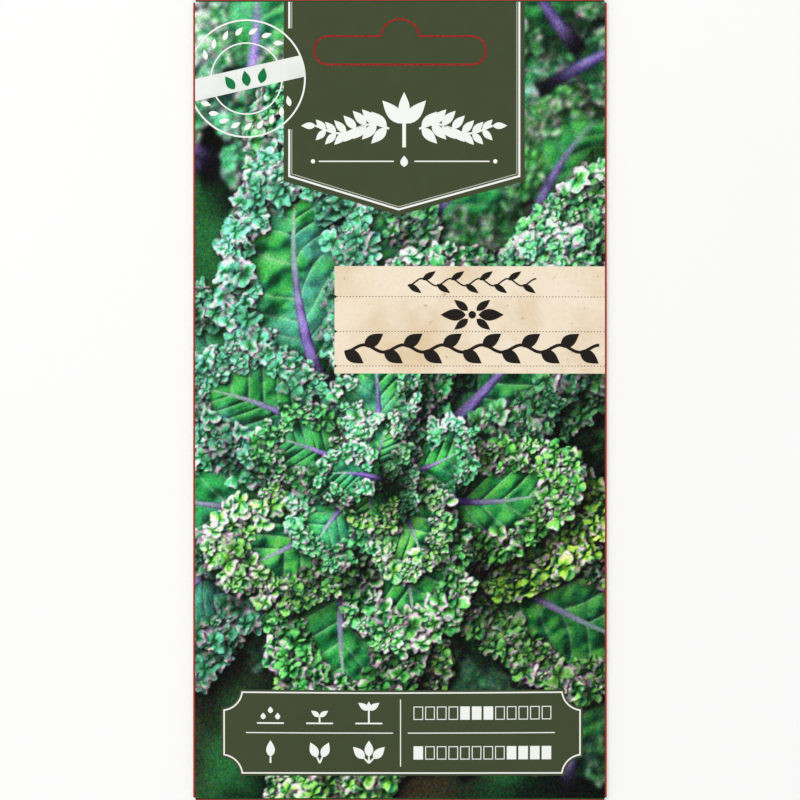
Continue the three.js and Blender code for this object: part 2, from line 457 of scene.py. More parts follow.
@dataclass(frozen=True)
class PacketForm:
    """Form of the folded packet, which the sheet and everything printed on it share.

    Attributes:
        half_width: Half the width over the side folds.
        half_height: Half the height over the end folds.
        top: Highest point of the puffed front.
        paper: Thickness of the paper.
        layer: Step from one layer of paper to the next.
        pillow_top: Where the puffed part ends, below the header.
        pillow_lean: How far the puff leans to the lower end.
        crease: Height of the slight buckles in the paper.
    """

    half_width: float
    half_height: float
    top: float
    paper: float = 0.2
    layer: float = 0.3
    pillow_top: float = 52.0
    pillow_lean: float = 0.82
    crease: float = 0.05

    @classmethod
    def of_frame(cls) -> PacketForm:
        """Read the packet's size from its CAD sheet."""
        low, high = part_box("paper_sheet")
        return cls((high[0] - low[0]) / 2 / MM, (high[1] - low[1]) / 2 / MM, high[2] / MM)

    def level(self, step: int) -> float:
        """Height of the middle of a layer, counted up from the outermost flap."""
        return self.paper / 2 + step * self.layer

    @property
    def side_radius(self) -> float:
        """Radius of a side fold at the middle of the paper."""
        return self.layer

    @property
    def end_radius(self) -> float:
        """Radius of an end fold at the middle of the paper."""
        return 1.5 * self.layer

    @property
    def side_fold(self) -> float:
        """Where the front meets a side fold."""
        return self.half_width - self.paper / 2 - self.side_radius

    @property
    def end_fold(self) -> float:
        """Where the front meets an end fold."""
        return self.half_height - self.paper / 2 - self.end_radius

    def middle(self, x: np.ndarray, y: np.ndarray) -> np.ndarray:
        """Height of the middle of the front's paper.

        Args:
            x: Places across the packet.
            y: Places along the packet.

        Returns:
            Heights there.
        """
        across = np.clip(1 - (x / self.side_fold) ** 2, 0, 1)
        share = np.clip((y + self.end_fold) / (self.pillow_top + self.end_fold), 0, 1)
        along = np.clip(np.sin(np.pi * share**self.pillow_lean), 0, 1) ** 1.5
        rise = self.top - self.paper / 2 - self.level(3)
        buckle = np.sin(0.31 * x + 0.17 * y + 1.3 * np.sin(0.11 * y)) + np.sin(0.23 * y - 0.19 * x + 0.9)
        ripple = np.sin(0.83 * x + 1.1 * np.sin(0.37 * y)) * np.sin(0.71 * y + 0.8 * np.sin(0.29 * x))
        calm = np.clip(4 * across, 0, 1) * np.clip(0.2 + along, 0, 1)
        return self.level(3) + rise * across**1.4 * along + self.crease * calm * (buckle + ripple - 1)

    def outside(self, x: np.ndarray, y: np.ndarray) -> np.ndarray:
        """Height of the front's outer face at places across and along the packet."""
        return self.middle(x, y) + self.paper / 2


@dataclass(frozen=True)
class HangSlot:
    """Die-cut hang slot: a long slot with a round bump on its upper side.

    Attributes:
        middle: Height of the slot's middle line on the packet.
        bump_middle: Height of the bump's centre.
        length: Overall length.
        depth: Height without the bump.
        bump: Radius of the bump.
        cut: Width of the knife cut.
        nick: Width of the uncut bridges.
    """

    middle: float = 67.55
    bump_middle: float = 69.8
    length: float = 33.2
    depth: float = 5.5
    bump: float = 3.8
    cut: float = 0.06
    nick: float = 1.4

    def outline(self, margin: float, steps: int = 20) -> list[Point]:
        """Outline of the slot, larger by an even margin.

        Args:
            margin: How much larger it is.
            steps: Steps in each half circle.

        Returns:
            Points round the slot.
        """
        end = (self.length - self.depth) / 2
        radius = self.depth / 2 + margin
        bump = self.bump + margin
        rise = math.asin((self.middle + radius - self.bump_middle) / bump)
        return [
            *arc(end, self.middle, radius, -math.pi / 2, math.pi / 2, steps),
            *arc(0, self.bump_middle, bump, rise, math.pi - rise, steps),
            *arc(-end, self.middle, radius, math.pi / 2, 1.5 * math.pi, steps),
        ]

    def knife(self) -> bpy.types.Object:
        """The knife line as a solid through every layer, with gaps at the nicks."""
        bm = bmesh.new()
        fill_loops(bm, [self.outline(self.cut / 2), self.outline(-self.cut / 2)], 0)
        end = self.length / 2
        bridges = [(-end, self.middle), (end, self.middle), (0, self.middle - self.depth / 2)]
        for x, y in bridges:
            for axis, at in ((Vector((1, 0, 0)), x), (Vector((0, 1, 0)), y)):
                for side in (-0.5, 0.5):
                    geometry = [*bm.verts, *bm.edges, *bm.faces]
                    place = axis * (at + side * self.nick)
                    bmesh.ops.bisect_plane(bm, geom=geometry, plane_co=place, plane_no=axis)
        inside = [
            f
            for f in bm.faces
            for c in (f.calc_center_median(),)
            if any(max(abs(c.x - x), abs(c.y - y)) < self.nick / 2 for x, y in bridges)
        ]
        bmesh.ops.delete(bm, geom=inside, context="FACES")
        bmesh.ops.translate(bm, verts=bm.verts, vec=Vector((0, 0, -1)))
        wall = bmesh.ops.extrude_face_region(bm, geom=list(bm.faces))
        raised = [v for v in wall["geom"] if isinstance(v, bmesh.types.BMVert)]
        bmesh.ops.translate(bm, verts=raised, vec=Vector((0, 0, 4)))
        bmesh.ops.recalc_face_normals(bm, faces=bm.faces)
        return finished("knife", bm, [])


def arc(x: float, y: float, radius: float, start: float, stop: float, steps: int) -> list[Point]:
    """Points along a circular arc, both ends included.

    Args:
        x: Centre across.
        y: Centre along.
        radius: Radius.
        start: First angle.
        stop: Last angle.
        steps: Number of steps.

    Returns:
        The points.
    """
    return [(x + radius * math.cos(a), y + radius * math.sin(a)) for a in np.linspace(start, stop, steps + 1)]


def fill_loops(bm: bmesh.types.BMesh, loops: Iterable[Loop], ink: int, height: float = 0.0) -> None:
    """Fill flat outlines, with an outline inside another as a hole.

    Args:
        bm: The mesh to add to.
        loops: Closed outlines.
        ink: Material slot of the new faces.
        height: Height of the new faces.
    """
    edges = []
    for loop in loops:
        corners = [bm.verts.new((x, y, height)) for x, y in loop]
        edges += [bm.edges.new((a, b)) for a, b in zip(corners, [*corners[1:], corners[0]])]
    up = Vector((0, 0, 1))
    made = bmesh.ops.triangle_fill(bm, use_beauty=True, use_dissolve=False, edges=edges, normal=up)
    for face in made["geom"]:
        if isinstance(face, bmesh.types.BMFace):
            face.material_index = ink
            face.normal_update()
            if face.normal.z < 0:
                face.normal_flip()


def stroke(points: Loop, width: float) -> list[Point]:
    """Outline of a line of even width with mitred corners.

    Args:
        points: The line's middle.
        width: Its width.

    Returns:
        A closed outline.
    """
    p = np.asarray(points, float)
    way = np.diff(p, axis=0)
    way /= np.linalg.norm(way, axis=1)[:, None]
    normal = np.stack([-way[:, 1], way[:, 0]], axis=1)
    before = np.vstack([normal[:1], normal])
    after = np.vstack([normal, normal[-1:]])
    mitre = (before + after) / (1 + np.sum(before * after, axis=1))[:, None]
    left = p + mitre * width / 2
    right = p - mitre * width / 2
    return [tuple(q) for q in np.vstack([left, right[::-1]])]


def leaf_outline(
    x: float, y: float, length: float, width: float, heading: float, steps: int = 8
) -> list[Point]:
    """Outline of a plain pointed leaf for ornaments.

    Args:
        x: Foot across.
        y: Foot along.
        length: From foot to tip.
        width: At its widest.
        heading: Clockwise from +Y, in degrees.
        steps: Steps along each side.

    Returns:
        A closed outline.
    """
    way = np.linspace(0, 1, steps + 1)
    half = width / 2 * np.sin(np.pi * way**0.8)
    side = np.concatenate([half, -half[-2:0:-1]])
    along = np.concatenate([way, way[-2:0:-1]]) * length
    turn = math.radians(heading)
    across = x + side * math.cos(turn) + along * math.sin(turn)
    upward = y - side * math.sin(turn) + along * math.cos(turn)
    return list(zip(across.tolist(), upward.tolist()))


class PrintLayer:
    """A film of ink on the packet: flat outlines laid over the paper's own curve."""

    def __init__(
        self,
        name: str,
        form: PacketForm,
        lift: float,
        inks: Sequence[bpy.types.Material],
        back: bool = False,
    ) -> None:
        """Start an empty film.

        Args:
            name: The piece's name.
            form: The packet's form.
            lift: Height above the paper of the first ink, with each further ink a little higher.
            inks: The inks in order.
            back: Whether it lies on the wings behind, not on the front.
        """
        self.name = name
        self.form = form
        self.lift = lift
        self.inks = inks
        self.back = back
        self.bm = bmesh.new()
        self.fills = 0

    def fill(self, ink: int, *loops: Loop) -> None:
        """Fill outlines with an ink, with an outline inside another as a hole."""
        fill_loops(self.bm, loops, ink, FILL_STEP * (self.fills % FILL_STEPS))
        self.fills += 1

    def line(self, ink: int, points: Loop, width: float) -> None:
        """Draw a line of even width."""
        self.fill(ink, stroke(points, width))

    def dots(self, ink: int, start: float, stop: float, y: float) -> None:
        """Draw a dotted line across the packet."""
        pitch, size, half = 0.62, 0.26, 0.06
        for x in np.arange(start, stop - size, pitch):
            self.block(ink, x, y - half, x + size, y + half)

    def dot(self, ink: int, x: float, y: float, radius: float, steps: int = 14) -> None:
        """Draw a round dot."""
        self.fill(ink, arc(x, y, radius, 0, math.tau, steps)[:-1])

    def ring(self, ink: int, x: float, y: float, radius: float, width: float, steps: int = 96) -> None:
        """Draw a ring of even width inside a radius."""
        outer = arc(x, y, radius, 0, math.tau, steps)[:-1]
        inner = arc(x, y, radius - width, 0, math.tau, steps)[:-1]
        self.fill(ink, outer, inner)

    def block(self, ink: int, left: float, bottom: float, right: float, top: float) -> None:
        """Draw a filled box."""
        self.fill(ink, [(left, bottom), (right, bottom), (right, top), (left, top)])

    def months(
        self,
        ink: int,
        left: float,
        bottom: float,
        cell: Point,
        gap: float,
        line: float,
        marked: Sequence[int],
    ) -> None:
        """Draw a row of months as boxes, with some of them filled.

        Args:
            ink: The ink.
            left: Left edge of the first month.
            bottom: Lower edge of the row.
            cell: Width and height of a month.
            gap: Gap between months.
            line: Width of an empty month's outline.
            marked: Filled months, counted from 1.
        """
        for month in range(MONTHS):
            x = left + (cell[0] + gap) * month
            box = (x, bottom, x + cell[0], bottom + cell[1])
            if month + 1 in marked:
                self.block(ink, *box)
            else:
                self.frame(ink, *box, line)

    def frame(self, ink: int, left: float, bottom: float, right: float, top: float, width: float) -> None:
        """Draw a box as an outline of even width inside its edge."""
        loops = []
        for inset in (0.0, width):
            x, far_x, y, far_y = left + inset, right - inset, bottom + inset, top - inset
            loops.append([(x, y), (far_x, y), (far_x, far_y), (x, far_y)])
        self.fill(ink, *loops)

    def piece(self, pitch: float = 1.0, step: float = 0.012) -> bpy.types.Object:
        """Trim the film to the packet, lay it on the paper and finish it.

        Args:
            pitch: How finely the film is divided, so that it follows the paper.
            step: How much higher each further ink lies.

        Returns:
            The finished piece.
        """
        reach = (self.form.side_fold - FILM_MARGIN, self.form.end_fold - FILM_MARGIN)
        for axis, limit in zip((Vector((1, 0, 0)), Vector((0, 1, 0))), reach):
            for side in (-1, 1):
                cut_away(self.bm, axis * side, limit)
        for index, axis in enumerate((Vector((1, 0, 0)), Vector((0, 1, 0)))):
            places = [v.co[index] for v in self.bm.verts]
            for at in np.arange(math.ceil(min(places) / pitch) * pitch, max(places), pitch):
                geometry = [*self.bm.verts, *self.bm.edges, *self.bm.faces]
                bmesh.ops.bisect_plane(self.bm, geom=geometry, plane_co=axis * float(at), plane_no=axis)
        for vertex, ink in {v: face.material_index for face in self.bm.faces for v in face.verts}.items():
            vertex.co.z += self.lift + step * ink
        if self.back:
            wing = self.form.level(1) - self.form.paper / 2
            for vertex in self.bm.verts:
                vertex.co.z = wing - vertex.co.z
            bmesh.ops.reverse_faces(self.bm, faces=self.bm.faces)
        else:
            co = np.array([v.co for v in self.bm.verts])
            for vertex, height in zip(self.bm.verts, self.form.outside(co[:, 0], co[:, 1])):
                vertex.co.z += height
        return finished(self.name, self.bm, self.inks)


def cut_away(bm: bmesh.types.BMesh, direction: Vector, limit: float) -> None:
    """Trim off all that lies beyond a limit in a direction."""
    bmesh.ops.bisect_plane(
        bm,
        geom=[*bm.verts, *bm.edges, *bm.faces],
        plane_co=direction * limit,
        plane_no=direction,
        clear_outer=True,
    )


@dataclass(frozen=True)
class FoldedSheet:
    """The paper sheet: front, two wings lapped over the back, top and bottom flaps.

    Attributes:
        form: The packet's form.
        slot: The hang slot cut through it.
        seam: Overlap of the wings.
        seam_ramp: Length over which the inner wing steps up.
        top_flap: Height of the top flap.
        bottom_flap: Height of the bottom flap.
        flap_inset: How much narrower than the front each flap is at its fold, on each side.
        flap_taper: How much narrower it grows to its free edge, on each side.
        relief: How far the wings stop short of the end folds.
        cell: Size of the front's mesh cells.
        turn_steps: Steps round each fold.
    """

    form: PacketForm
    slot: HangSlot
    seam: float = 12.0
    seam_ramp: float = 3.0
    top_flap: float = 20.0
    bottom_flap: float = 14.0
    flap_inset: float = 0.5
    flap_taper: float = 3.0
    relief: float = 0.15
    cell: float = 1.0
    turn_steps: int = 8

    def columns(self) -> tuple[np.ndarray, np.ndarray, np.ndarray]:
        """Columns of the blank, from the left wing's free edge round the front to the right wing's.

        Returns:
            Places across, heights of the folded-over columns, and a rank for each: 2 on the front as
            wide as the flaps, 1 on the rest of the front, 0 elsewhere.
        """
        form = self.form
        wing, inner = form.level(1), form.level(2)
        fold, radius = form.side_fold, form.side_radius
        axis = (form.level(3) + wing) / 2
        edge = self.seam / 2
        ramp_end = -edge - 0.5 - self.seam_ramp
        lap = np.linspace(edge, -edge - 0.5, 6)
        slope = np.linspace(-edge - 0.5, ramp_end, 7)[1:]
        left = np.linspace(ramp_end, -fold, 12)[1:-1]
        turn = np.linspace(0, np.pi, self.turn_steps + 1)[:-1]
        flap = form.half_width - self.flap_inset
        front = np.linspace(-flap, flap, round(2 * flap / self.cell) + 1)
        right = np.linspace(fold, -edge, 18)[1:]
        x = [lap, slope, left, -fold - radius * np.sin(turn), [-fold], front, [fold]]
        x += [fold + radius * np.sin(np.pi - turn[::-1]), right]
        z = [np.full(lap.size, inner), inner + (wing - inner) * ramp(slope, -edge - 0.5, ramp_end)]
        z += [np.full(left.size, wing), axis - radius * np.cos(turn), [0], np.zeros(front.size), [0]]
        z += [axis - radius * np.cos(turn[::-1]), np.full(right.size, wing)]
        folded = lap.size + slope.size + left.size + turn.size
        rank = [np.zeros(folded), [1], np.full(front.size, 2), [1], np.zeros(turn.size + right.size)]
        return np.concatenate(x), np.concatenate(z), np.concatenate(rank)

    def rows(self) -> tuple[np.ndarray, np.ndarray, np.ndarray, np.ndarray]:
        """Rows of the blank, from the bottom flap's free edge up the front to the top flap's.

        Returns:
            Places along, heights of the flap rows, how far along the flap each is, and a rank for
            each: 2 on the front beside the wings, 1 on the rest of the front, 0 on the flaps.
        """
        form = self.form
        flap, axis = form.level(0), (form.level(3) + form.level(0)) / 2
        turn = np.linspace(0, np.pi, self.turn_steps + 1)[:-1]
        wing_end = form.end_fold - self.relief
        front = np.linspace(-wing_end, wing_end, round(2 * wing_end / self.cell) + 1)
        y, z, share, rank = [], [], [], []
        for side, height in ((-1, self.bottom_flap), (1, self.top_flap)):
            free = side * (form.half_height - height)
            flat = np.linspace(free, side * form.end_fold, 9)[:-1]
            ends = [
                np.concatenate([flat, side * (form.end_fold + form.end_radius * np.sin(turn))]),
                np.concatenate([np.full(flat.size, flap), axis - form.end_radius * np.cos(turn)]),
                np.concatenate([np.linspace(1, 0, flat.size + 1)[:-1], np.zeros(turn.size)]),
                np.zeros(flat.size + turn.size),
            ]
            fold_row = [[side * form.end_fold], [0], [0], [1]]
            if side < 0:
                for parts, end, row in zip((y, z, share, rank), ends, fold_row):
                    parts += [end, row]
                for parts, rows in zip((y, z, share, rank), (front, 0 * front, 0 * front, 0 * front + 2)):
                    parts.append(rows)
            else:
                for parts, end, row in zip((y, z, share, rank), ends, fold_row):
                    parts += [row, end[::-1]]
        return tuple(np.concatenate(parts) for parts in (y, z, share, rank))

    def build(self, outside: bpy.types.Material, inside: bpy.types.Material) -> bpy.types.Object:
        """Fold the blank, give it its thickness and cut the hang slot.

        Args:
            outside: Finish of the printed side.
            inside: Finish of the bare side and the cut edges.

        Returns:
            The finished sheet.
        """
        col_x, col_z, col_rank = self.columns()
        row_y, row_z, row_share, row_rank = self.rows()
        across, along = col_x.size - 1, row_y.size - 1
        bm = bmesh.new()
        bmesh.ops.create_grid(bm, x_segments=across, y_segments=along, size=1)
        scrap = []
        for face in bm.faces:
            centre = face.calc_center_median()
            i, j = int((centre.x + 1) / 2 * across), int((centre.y + 1) / 2 * along)
            column, row = min(col_rank[i : i + 2]), min(row_rank[j : j + 2])
            if (row == 0 and column < 2) or (row == 1 and column < 1):
                scrap.append(face)
        squeeze = self.flap_taper / (self.form.half_width - self.flap_inset)
        for vertex in bm.verts:
            i, j = round((vertex.co.x + 1) / 2 * across), round((vertex.co.y + 1) / 2 * along)
            x, y = col_x[i], row_y[j]
            if row_rank[j] == 0:
                vertex.co = (x * (1 - squeeze * row_share[j]), y, row_z[j])
            else:
                vertex.co = (x, y, self.form.middle(x, y) if col_rank[i] else col_z[i])
        bmesh.ops.delete(bm, geom=scrap, context="FACES")
        sheet = finished("packet_sheet", bm, [outside, inside])
        wall = sheet.modifiers.new("paper", "SOLIDIFY")
        wall.thickness = self.form.paper * MM
        wall.offset = 0
        wall.use_even_offset = True
        wall.material_offset = 1
        wall.material_offset_rim = 1
        knife = self.slot.knife()
        knife.data.materials.append(inside)
        cut = sheet.modifiers.new("hang_slot", "BOOLEAN")
        cut.operation = "DIFFERENCE"
        cut.object = knife
        cut.solver = "EXACT"
        apply_modifiers(sheet)
        bpy.data.objects.remove(knife)
        shade_smooth(sheet, math.radians(35))
        return sheet


def apply_modifiers(piece: bpy.types.Object) -> None:
    """Replace a piece's mesh by what its modifiers make of it."""
    graph = bpy.context.evaluated_depsgraph_get()
    made = bpy.data.meshes.new_from_object(piece.evaluated_get(graph))
    piece.modifiers.clear()
    piece.data = made


def shade_smooth(piece: bpy.types.Object, angle: float) -> None:
    """Shade a piece smooth except over edges sharper than an angle."""
    piece.data.shade_smooth()
    piece.data.set_sharp_from_angle(angle=angle)


@dataclass
class Canvas:
    """A raster over the packet's front on which the picture is painted.

    Attributes:
        width: Width that it covers.
        height: Height that it covers.
        cell: Size of a cell.
        margin: Spare cells round the noise fields, for shifting them about.
        seed: Of the random draws.
    """

    width: float
    height: float
    cell: float = 0.1
    margin: int = 600
    seed: int = 7
    rng: np.random.Generator = field(init=False)
    colour: np.ndarray = field(init=False)
    fields: dict[float, np.ndarray] = field(init=False)

    def __post_init__(self) -> None:
        """Set out the raster and its noise fields."""
        self.rng = np.random.default_rng(self.seed)
        self.colour = np.zeros((round(self.height / self.cell), round(self.width / self.cell), 3), np.float32)
        self.fields = {size: self.cloud(size) for size in (0.55, 1.0, 1.9, 3.6, 7.5, 16.0)}

    def weights(self, count: int, size: float) -> np.ndarray:
        """Weights that spread a lattice of a pitch smoothly over a number of cells."""
        place = np.arange(count) * self.cell / size
        first = np.floor(place).astype(int)
        f = place - first
        spread = np.zeros((count, first[-1] + 4), np.float32)
        parts = (1 - f) ** 3, 3 * f**3 - 6 * f**2 + 4, -3 * f**3 + 3 * f**2 + 3 * f + 1, f**3
        for k, part in enumerate(parts):
            spread[np.arange(count), first + k] = part / 6
        return spread

    def cloud(self, size: float) -> np.ndarray:
        """Smooth noise with features of a size, of unit spread."""
        down = self.weights(self.colour.shape[0] + self.margin, size)
        across = self.weights(self.colour.shape[1] + self.margin, size)
        lattice = self.rng.normal(size=(down.shape[1], across.shape[1])).astype(np.float32)
        noise = down @ lattice @ across.T
        return noise / noise.std()

    def noise(self, size: float, window: Window) -> np.ndarray:
        """Noise over a window of the canvas, from a random part of its field."""
        down, across = self.rng.integers(0, self.margin, 2)
        rows = slice(window[0].start + down, window[0].stop + down)
        columns = slice(window[1].start + across, window[1].stop + across)
        return self.fields[size][rows, columns]

    def window(self, low: Point, high: Point) -> Window:
        """Rows and columns of the canvas between two corners in millimetres."""
        half = (self.width / 2, self.height / 2)
        size = (self.colour.shape[1], self.colour.shape[0])
        edges = []
        for axis in (1, 0):
            start = np.clip(int((low[axis] + half[axis]) / self.cell), 0, size[axis])
            stop = np.clip(int((high[axis] + half[axis]) / self.cell), 0, size[axis])
            edges.append(slice(int(start), int(stop)))
        return edges[0], edges[1]

    def places(self, window: Window) -> tuple[np.ndarray, np.ndarray]:
        """Places across and along the packet of the cells in a window."""
        y = (np.arange(window[0].start, window[0].stop, dtype=np.float32) + 0.5) * self.cell - self.height / 2
        x = (np.arange(window[1].start, window[1].stop, dtype=np.float32) + 0.5) * self.cell - self.width / 2
        return np.meshgrid(x, y)

    def softened(self, grid: np.ndarray, radius: float) -> np.ndarray:
        """A grid blurred over a radius in millimetres."""
        reach = max(1, int(2 * radius / self.cell))
        weight = np.exp(-((np.arange(-reach, reach + 1) * self.cell / radius) ** 2))
        weight = (weight / weight.sum()).astype(np.float32)
        for axis in (0, 1):
            room = [(reach, reach) if k == axis else (0, 0) for k in range(grid.ndim)]
            wide = np.moveaxis(np.pad(grid, room, mode="edge"), axis, 0)
            length = grid.shape[axis]
            grid = np.moveaxis(sum(w * wide[k : k + length] for k, w in enumerate(weight)), 0, axis)
        return grid

    def shadow(self, mask: np.ndarray, radius: float, throw: float, coarse: int = 4) -> np.ndarray:
        """Soft shadow of a mask, thrown down and to the right.

        Args:
            mask: Where the thing is.
            radius: Softness of the shadow.
            throw: How far it is thrown.
            coarse: Cells that are worked as one.

        Returns:
            Depth of the shadow from 0 to 1.
        """
        soft = self.softened(mask[::coarse, ::coarse].astype(np.float32), radius / coarse)
        drop = max(1, round(throw / self.cell / coarse))
        thrown = np.zeros_like(soft)
        thrown[:-drop, drop:] = soft[drop:, :-drop]
        full = np.repeat(np.repeat(thrown, coarse, axis=0), coarse, axis=1)
        return full[: mask.shape[0], : mask.shape[1]]

    def sampled(self, x: np.ndarray, y: np.ndarray) -> np.ndarray:
        """Colours at places on the packet, each averaged over the four cells round it."""
        column = np.clip(np.rint((x + self.width / 2) / self.cell).astype(int), 1, self.colour.shape[1] - 1)
        row = np.clip(np.rint((y + self.height / 2) / self.cell).astype(int), 1, self.colour.shape[0] - 1)
        return sum(self.colour[row - j, column - i] for i in (0, 1) for j in (0, 1)) / 4


class Pigment(Enum):
    """Colours that the picture is painted with, as sRGB."""

    NIGHT = "#0b2014"
    MOSS = "#2c6a3c"
    SOIL = "#3a3324"
    CURL_DEEP = "#0c3d24"
    CURL_LIT = "#34a052"
    CURL_LIME = "#93c944"
    CURL_WAX = "#63c4a6"
    RIM_PALE = "#f6f3e4"
    RIM_PINK = "#e0acd2"
    BLADE_DEEP = "#08482a"
    BLADE_LIT = "#2c9450"
    BLADE_LIME = "#7dbb48"
    BLADE_WAX = "#56a596"
    VEIN = "#a9c9a4"
    RIB_DEEP = "#3d2562"
    RIB_LIT = "#9484c2"
    RIB_TIP = "#93b79a"

    @property
    def rgb(self) -> np.ndarray:
        """The colour as three numbers."""
        return tone(self.value)


@dataclass(frozen=True)
class LeafLook:
    """Colouring of one painted leaf.

    Attributes:
        light: Brightness as a whole.
        bloom: How blue and waxy it is.
        warmth: How yellow the lit parts are.
        frost: How pale the curls' rims are.
    """

    light: float
    bloom: float
    warmth: float
    frost: float


@dataclass(frozen=True)
class Curl:
    """One curl of a frilled edge, modelled once and painted many times.

    Attributes:
        cover: How far it hides what is below it, from 0 to 1.
        shadow: Depth of the shadow that it throws.
        lit: Light on it.
        rim: How near to its rim.
        patch: Where its rim is pale.
    """

    cover: np.ndarray
    shadow: np.ndarray
    lit: np.ndarray
    rim: np.ndarray
    patch: np.ndarray


@dataclass(frozen=True)
class LeafRing:
    """One ring of the rosette's leaves.

    Attributes:
        count: Number of leaves.
        length: Their length.
        half: Half their width.
        away: Distance of their feet from the rosette's heart.
        light: Range of their brightness.
    """

    count: int
    length: float
    half: float
    away: float
    light: Point


@dataclass
class LeafPicture:
    """The front's picture: a rosette of curly leaves seen from above, painted in print colours.

    Attributes:
        canvas: What it is painted on.
        middle: Heart of the rosette.
        sun: Direction of the painted light.
        radii: Radii of the curls that are modelled.
        kinds: Curls of each radius.
        density: Curls on a leaf's edge for each millimetre of its half width and length.
        full_half: Half width of a full-grown leaf, on which curls are as large as they get.
        widest: Where a blade is widest, as a share of its leaf's length.
        tip_reach: From there to its tip.
        foot_reach: From there to its foot.
        bend: Where along the leaf its bow crosses the straight line.
        speckle: Strength of the colour grain that the printing screen leaves.
        least: Fewest cells of a leaf's window on the canvas for which it is painted.
    """

    canvas: Canvas
    middle: Point = (-5.0, -15.0)
    sun: tuple[float, float, float] = (-0.45, 0.50, 0.74)
    radii: tuple[float, ...] = (0.9, 1.2, 1.7, 2.3)
    kinds: int = 16
    density: float = 10.0
    full_half: float = 15.0
    widest: float = 0.62
    tip_reach: float = 0.38
    foot_reach: float = 0.46
    bend: float = 0.6
    speckle: float = 0.11
    least: int = 40
    curls: list[Curl] = field(init=False)

    def __post_init__(self) -> None:
        """Model the curls, from small to large."""
        self.curls = [self.curl(radius) for radius in self.radii for _ in range(self.kinds)]

    def light(self, height: np.ndarray) -> np.ndarray:
        """Sunlight on a painted relief."""
        slope_y, slope_x = np.gradient(height, self.canvas.cell)
        lit = self.sun[2] - 0.55 * (slope_x * self.sun[0] + slope_y * self.sun[1])
        return np.clip(lit / np.sqrt(1 + 0.3 * (slope_x**2 + slope_y**2)), 0, 1.15)

    def curl(self, radius: float) -> Curl:
        """Model a ruffled curl of a radius."""
        canvas, rng = self.canvas, self.canvas.rng
        reach = int(1.7 * radius / canvas.cell)
        span = np.arange(-reach, reach + 1, dtype=np.float32) * canvas.cell
        x, y = np.meshgrid(span, span)
        window = (slice(0, len(span)), slice(0, len(span)))
        coarse, fine = canvas.noise(1.0, window), canvas.noise(0.55, window)
        bearing = np.arctan2(y, x)
        edge = 1.0
        for waves, size in ((2, 0.20), (3, 0.16), (5, 0.12), (8, 0.07)):
            edge = edge + size * np.cos(waves * bearing + rng.uniform(0, math.tau))
        out = np.hypot(x, y) / (radius * edge) + 0.10 * coarse + 0.07 * fine
        folds = np.cos(rng.integers(3, 6) * bearing + 0.9 * coarse + rng.uniform(0, math.tau))
        tilt = rng.uniform(0, math.tau)
        height = radius * 0.42 * folds * np.clip(out, 0, 1.2)
        height += 0.35 * (x * math.cos(tilt) + y * math.sin(tilt)) + 0.16 * coarse + 0.11 * fine
        cover = 1 - ramp(out, 0.90, 1.0)
        throw = max(1, round(0.28 * radius / canvas.cell))
        shadow = np.zeros_like(cover)
        shadow[:-throw, throw:] = canvas.softened(cover, 0.35 * radius)[throw:, :-throw]
        patch = ramp(canvas.noise(1.9, window) + 0.7 * fine, -0.7, 0.9)
        return Curl(cover, shadow, self.light(height), np.clip(out, 0, 1), patch)

    def ground(self) -> None:
        """Paint the dark, blurred ground behind the leaves."""
        whole = tuple(slice(0, n) for n in self.canvas.colour.shape[:2])
        green = self.canvas.noise(7.5, whole) + 0.5 * self.canvas.noise(3.6, whole)
        soil = self.canvas.noise(16.0, whole)
        colour = mixed(Pigment.NIGHT.rgb, Pigment.MOSS.rgb, ramp(green, -1.2, 1.8))
        self.canvas.colour[:] = mixed(colour, Pigment.SOIL.rgb, ramp(soil, 0.3, 1.5))

    def stamp(self, curl: Curl, at: Point, look: LeafLook, light: float) -> None:
        """Paint a curl at a place.

        Args:
            curl: What is painted.
            at: Place across and along the packet.
            look: Colouring of its leaf.
            light: Brightness there.
        """
        canvas = self.canvas
        reach = curl.cover.shape[0] // 2
        row = round((at[1] + canvas.height / 2) / canvas.cell)
        column = round((at[0] + canvas.width / 2) / canvas.cell)
        top, left = max(0, reach - row), max(0, reach - column)
        rows = slice(max(0, row - reach), max(0, row + reach + 1))
        columns = slice(max(0, column - reach), max(0, column + reach + 1))
        below = canvas.colour[rows, columns]
        if not below.size:
            return
        part = (slice(top, top + below.shape[0]), slice(left, left + below.shape[1]))
        lit, rim, patch = curl.lit[part], curl.rim[part], curl.patch[part]
        colour = mixed(Pigment.CURL_DEEP.rgb, Pigment.CURL_LIT.rgb, ramp(lit, 0.15, 0.9))
        colour = mixed(colour, Pigment.CURL_LIME.rgb, look.warmth * ramp(lit, 0.4, 1.0))
        colour = mixed(colour, Pigment.CURL_WAX.rgb, look.bloom * (0.35 + 0.65 * rim))
        hue = mixed(Pigment.RIM_PALE.rgb, Pigment.RIM_PINK.rgb, patch * ramp(rim, 0.62, 0.95))
        colour = mixed(colour, hue, look.frost * ramp(rim, 0.42, 0.84) * (0.12 + 0.88 * patch))
        shade = light * (0.52 + 0.80 * lit) * (0.50 + 0.50 * ramp(rim, 0.0, 0.55))
        dim = 1 - 0.58 * curl.shadow[part]
        below[:] = np.clip(mixed(below * dim[..., None], colour * shade[..., None], curl.cover[part]), 0, 1)

